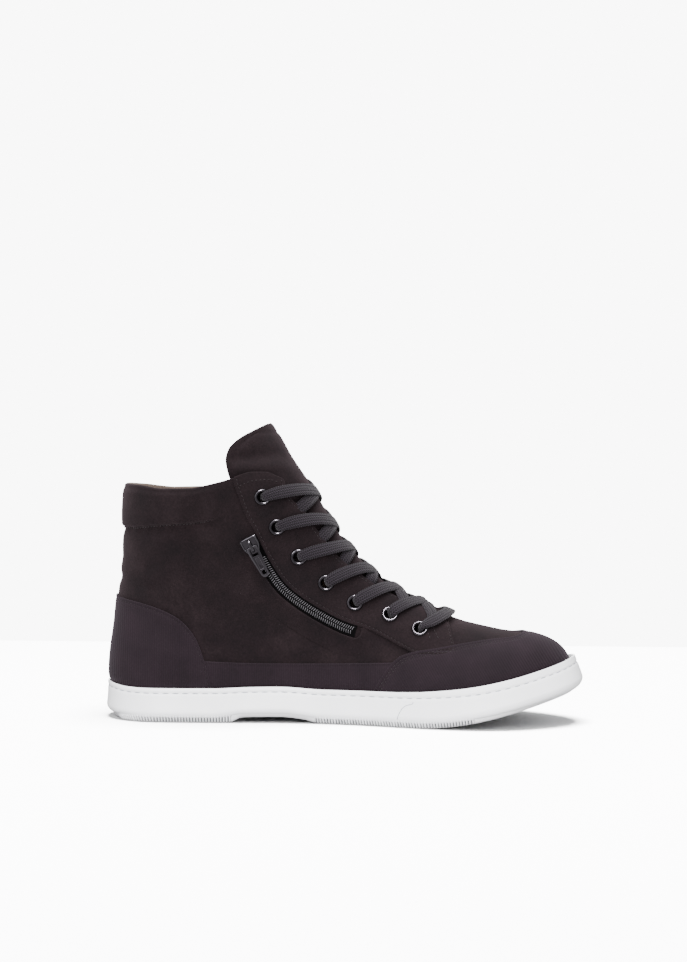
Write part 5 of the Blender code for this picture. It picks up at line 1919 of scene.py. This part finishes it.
def stitchRow(pile, path, out, skip=0.0, **changed):
    # Short arched threads along a path: height is rise * sin(share), with both ends under the cloth.
    s = {**stitchShape, **changed}
    run = alongPath(path)
    step = s["length"] + s["gap"]
    number = int((run[-1] - 2 * skip) / step)
    share = np.linspace(0, 1, len(stitchSwell))
    at = skip + step * np.arange(number)[:, None] + share * s["length"]
    up = unit(pick(at, run, out))
    centre = pick(at, run, path) + up * (s["rise"] * np.sin(np.pi * share) - s["sunk"])[None, :, None]
    across = np.cross(unit(centre[:, -1:] - centre[:, :1]) + 0 * up, up)
    angle = 2 * np.pi * np.arange(6) / 6
    size = s["thread"] / 2 * np.array(stitchSwell)
    tube = (centre[:, :, None] + across[:, :, None] * (size[:, None] * np.cos(angle))[None, ..., None]
            + up[:, :, None] * (size[:, None] * np.sin(angle))[None, ..., None])
    for thread in tube:
        pile.grid(capped(thread), wrapCols=True)


def lineAt(surface, near, place, fromEnd=False):
    # The line on a sewn surface at a distance from its first row, or from its last one.
    if fromEnd:
        surface, near = surface[::-1], (near[-1:] - near)[::-1]
    lines = []
    for j in range(surface.shape[1]):
        lines.append([np.interp(place, near[:, j], surface[:, j, c]) for c in range(3)])
    return np.array(lines)


def withNormals(path):
    base = settle(path)
    return path, normals(base)


def makeStitches():
    place = overlayShape["stitchIn"]
    pile = Pile()
    for row in (0, overlayShape["secondRow"]):
        stitchRow(pile, *withNormals(lineAt(*sewn["guard"], place + row)), 0.004)
    stitchRow(pile, *withNormals(lineAt(*sewn["counter"], place - 0.0005)), 0.004, thread=0.00030, rise=0.0001)
    for side in (-1, 1):
        stay = sewn["stay" + str(side)]
        stitchRow(pile, *withNormals(lineAt(*stay, place - 0.0003)), 0.001)
        stitchRow(pile, *withNormals(lineAt(*stay, 0.0016, True)[:200]), 0.001)
        stitchRow(pile, *withNormals(resample(stay[0][:, 6], 60)), 0.002)
    # Dark stitches down in the collar's seam, thicker than the others: real stitches that also paint the seam's
    # shade
    base = ring(lambda x: rowHeight(1.0, x), 0.0, 300)
    base = base[cuffShare(base[:, 0], bulgeStart - 0.02) > 0.5]
    seam = pushed(base, 0.0003 - upperShape["seamDepth"])
    stitchRow(pile, seam, normals(base), length=0.0013, gap=0.0007, thread=0.0005)
    # Bar tacks in front of the last eyelet
    for start, end in barTacks:
        line = np.linspace(start, end, 20) * (length, collarHeight)
        for side in (-1, 1):
            points = onSkin(line, side)
            stitchRow(pile, pushed(points, overlayTop + 0.0001), normals(points))
    pile.add("upper_stitches", darkThread, "woven_lace", merge=1e-7)


def onWall(base, direction, height):
    # Points on the sole's side wall at heights that are a function of x.
    flare = flareAt(base[:, 0])
    x = base[:, 0] + direction[:, 0] * rimOuter
    low = cupUnder(x) + soleShape["roundUp"] + 0.0014 * ends(x)
    fall = np.clip((height(x) - low) / (rimTop(x) - soleShape["rimRound"] - low), 0, 1)
    return loopAt(base, direction, height, wallOffset(flare, fall))


def makeSoleStitches():
    base, direction = soleRing(300)
    path = onWall(base, direction, lambda x: rimTop(x) - bandBelow(x)) - direction * soleShape["groove"]
    pile = Pile()
    stitchRow(pile, path, direction, length=0.0044, gap=0.0013, thread=0.0005, rise=0.00028)
    # The joint of the toe bumper on both sides: a fine moulded line in the side wall, drawn as a thin grey line
    # of the thread's material, which is painted shade
    count = 1200
    base, direction = soleRing(count)
    for half in (slice(0, count + 1), slice(count, None)):
        points, outwards = [], []
        for up in np.linspace(0.0024, 0.0125, 24):
            wallLoop = onWall(base[half], direction[half], above(cupUnder, up))
            at = np.argmin(np.abs(wallLoop[:, 0] - curve(up, bumperJoint["height"], bumperJoint["along"])))
            points.append(wallLoop[at])
            outwards.append(direction[half][at])
        points = rounded(resample(np.array(points), 40), 4)
        pile.grid(tubeAlong(points, 0.00045, 0.0003, resample(np.array(outwards), 40), 8), wrapCols=True)
    pile.add("sole_stitches_and_joint_shade", soleThread, "woven_lace", merge=1e-7)


makeStitches()
makeSoleStitches()
print("stitches made")

for piece, *nodes in (
    ("upper_suede", "upper"),
    ("toe_guard_cloth", "toe_guard"),
    ("heel_counter_cloth", "heel_counter"),
    ("side_band_cloth_inner", "side_band_medial"),
    ("side_band_cloth_outer", "side_band_lateral"),
    ("eyestay_suede_inner", "eyestay"),
    ("sole_cup_rubber", "sole_cup"),
    ("outsole_rubber", "outsole"),
    ("insole_cloth", "insole"),
    ("tongue_suede", "tongue"),
    ("eyelets_inner", *("eyelet_medial_" + str(k) for k in range(1, 8))),
    ("eyelets_outer", *("eyelet_lateral_" + str(k) for k in range(1, 8))),
    ("lace", *("lace_cross_" + str(k) for k in range(1, 7)), "lace_bar_7"),
    ("zip_teeth", "zip_coil"),
    ("zip_slider_metal", "zip_slider"),
    ("zip_pull_metal", "zip_pull"),
):
    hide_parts(*nodes)

print("frame dressed")


# Floor, light and camera

stage = {"floor": "#f4f4f5", "floorShade": "#f2f2f3", "mottle": 333.333, "bounce": 0.088, "sky": "#ffffff",
         "seen": 9.0, "strength": 0.78}

# Square lamps: place, aim, size, power and the pieces that alone see them.
lamps = {
    "top_box": ((0.05, -0.2, 1.3), (0, 0, 0.05), 0.8, 20, ()),
    "front_box": ((-0.5, -1.3, 0.8), (0, 0, 0.06), 0.8, 10, ()),
    # The floor has a box of its own, so that it is as pale as the photograph's
    "floor_box": ((0.05, 0.0, 2.4), (0, 0, 0), 1.1, 740, ("studio_floor",)),
    # A small bright lamp for the sparks on the metal
    "metal_top": ((0.0, -0.75, 1.0), (0, 0, 0.09), 0.3, 60,
                  ("eyelets_inner", "eyelets_outer", "zip_slider_metal", "zip_pull_metal")),
    # The white sole is brighter in the photograph than one light makes it beside so dark an upper
    "sole_front": ((0.1, -1.6, 0.5), (0, 0, 0.01), 1.2, 84, ("sole_cup_rubber", "outsole_rubber")),
    "sole_back": ((-0.1, 1.6, 0.5), (0, 0, 0.01), 1.2, 84, ("sole_cup_rubber", "outsole_rubber")),
}

# The photograph's view: metres and degrees, then millimetres to the near side, millimetres per pixel and rows.
view = {"distance": 1.5, "reach": 1490, "height": 0.2163, "turn": 5, "tilt": 3, "pixel": 0.5745, "rows": 962}


def floorMaterial():
    # Painted studio board: matt, pale and plain. Its bounce on the shoe is held back, as a grey card would.
    made, tree, shader = newMaterial("paintedStudioBoard")
    place = addNode(tree, "ShaderNodeTexCoord")["Object"]
    cloud = addNode(tree, "ShaderNodeTexNoise", {"Vector": place, "Scale": 1000 / stage["mottle"],
                                                 "Detail": 2})[0]
    seen = addNode(tree, "ShaderNodeLightPath")["Is Camera Ray"]
    pale = addNode(tree, "ShaderNodeValToRGB", {0: cloud},
                   [(0.3, stage["floorShade"]), (0.7, stage["floor"])])[0]
    colour = addNode(tree, "ShaderNodeMix", {0: seen, 6: (stage["bounce"],) * 3 + (1,), 7: pale},
                     data_type="RGBA")[2]
    setInputs(tree, shader, {"Base Color": colour, "Roughness": 0.7, "Specular IOR Level": 0.0})
    return made


def makeStage():
    mesh = bpy.data.meshes.new("studio_floor")
    mesh.from_pydata([(-3, -3, 0), (3, -3, 0), (3, 0.37, 0), (-3, 0.37, 0)], [], [(0, 1, 2, 3)])
    mesh.materials.append(floorMaterial())
    newObject("studio_floor", mesh)
    world = bpy.data.worlds.new("studio")
    world.use_nodes = True
    tree = world.node_tree
    seen = addNode(tree, "ShaderNodeLightPath")["Is Camera Ray"]
    strength = addNode(tree, "ShaderNodeMath", {0: seen, 1: stage["seen"] - stage["strength"],
                                                2: stage["strength"]}, operation="MULTIPLY_ADD")[0]
    setInputs(tree, tree.nodes["Background"], {"Color": hexColour(stage["sky"]), "Strength": strength})
    bpy.context.scene.world = world


def makeLamps():
    for name, (place, aim, size, power, pieces) in lamps.items():
        data = bpy.data.lights.new(name, "AREA")
        data.shape = "SQUARE"
        data.size = size
        data.energy = power
        lamp = newObject(name, data)
        lamp.location = place
        lamp.rotation_euler = (Vector(aim) - Vector(place)).to_track_quat("-Z", "Y").to_euler()
        if pieces:
            lamp.light_linking.receiver_collection = bpy.data.collections.new(name + "_only")
        for piece in pieces:
            lamp.light_linking.receiver_collection.objects.link(bpy.data.objects[piece])


def makeCamera():
    data = bpy.data.cameras.new("camera")
    data.sensor_fit = "VERTICAL"
    data.sensor_height = 36
    data.lens = data.sensor_height * view["reach"] / view["pixel"] / view["rows"]
    camera = newObject("camera", data)
    turn, tilt = math.radians(view["turn"]), math.radians(view["tilt"])
    camera.location = (view["distance"] * math.sin(turn), -view["distance"] * math.cos(turn), view["height"])
    camera.rotation_euler = (math.pi / 2 - tilt, 0, turn)
    bpy.context.scene.camera = camera


makeStage()
makeLamps()
makeCamera()
print("stage and camera set")
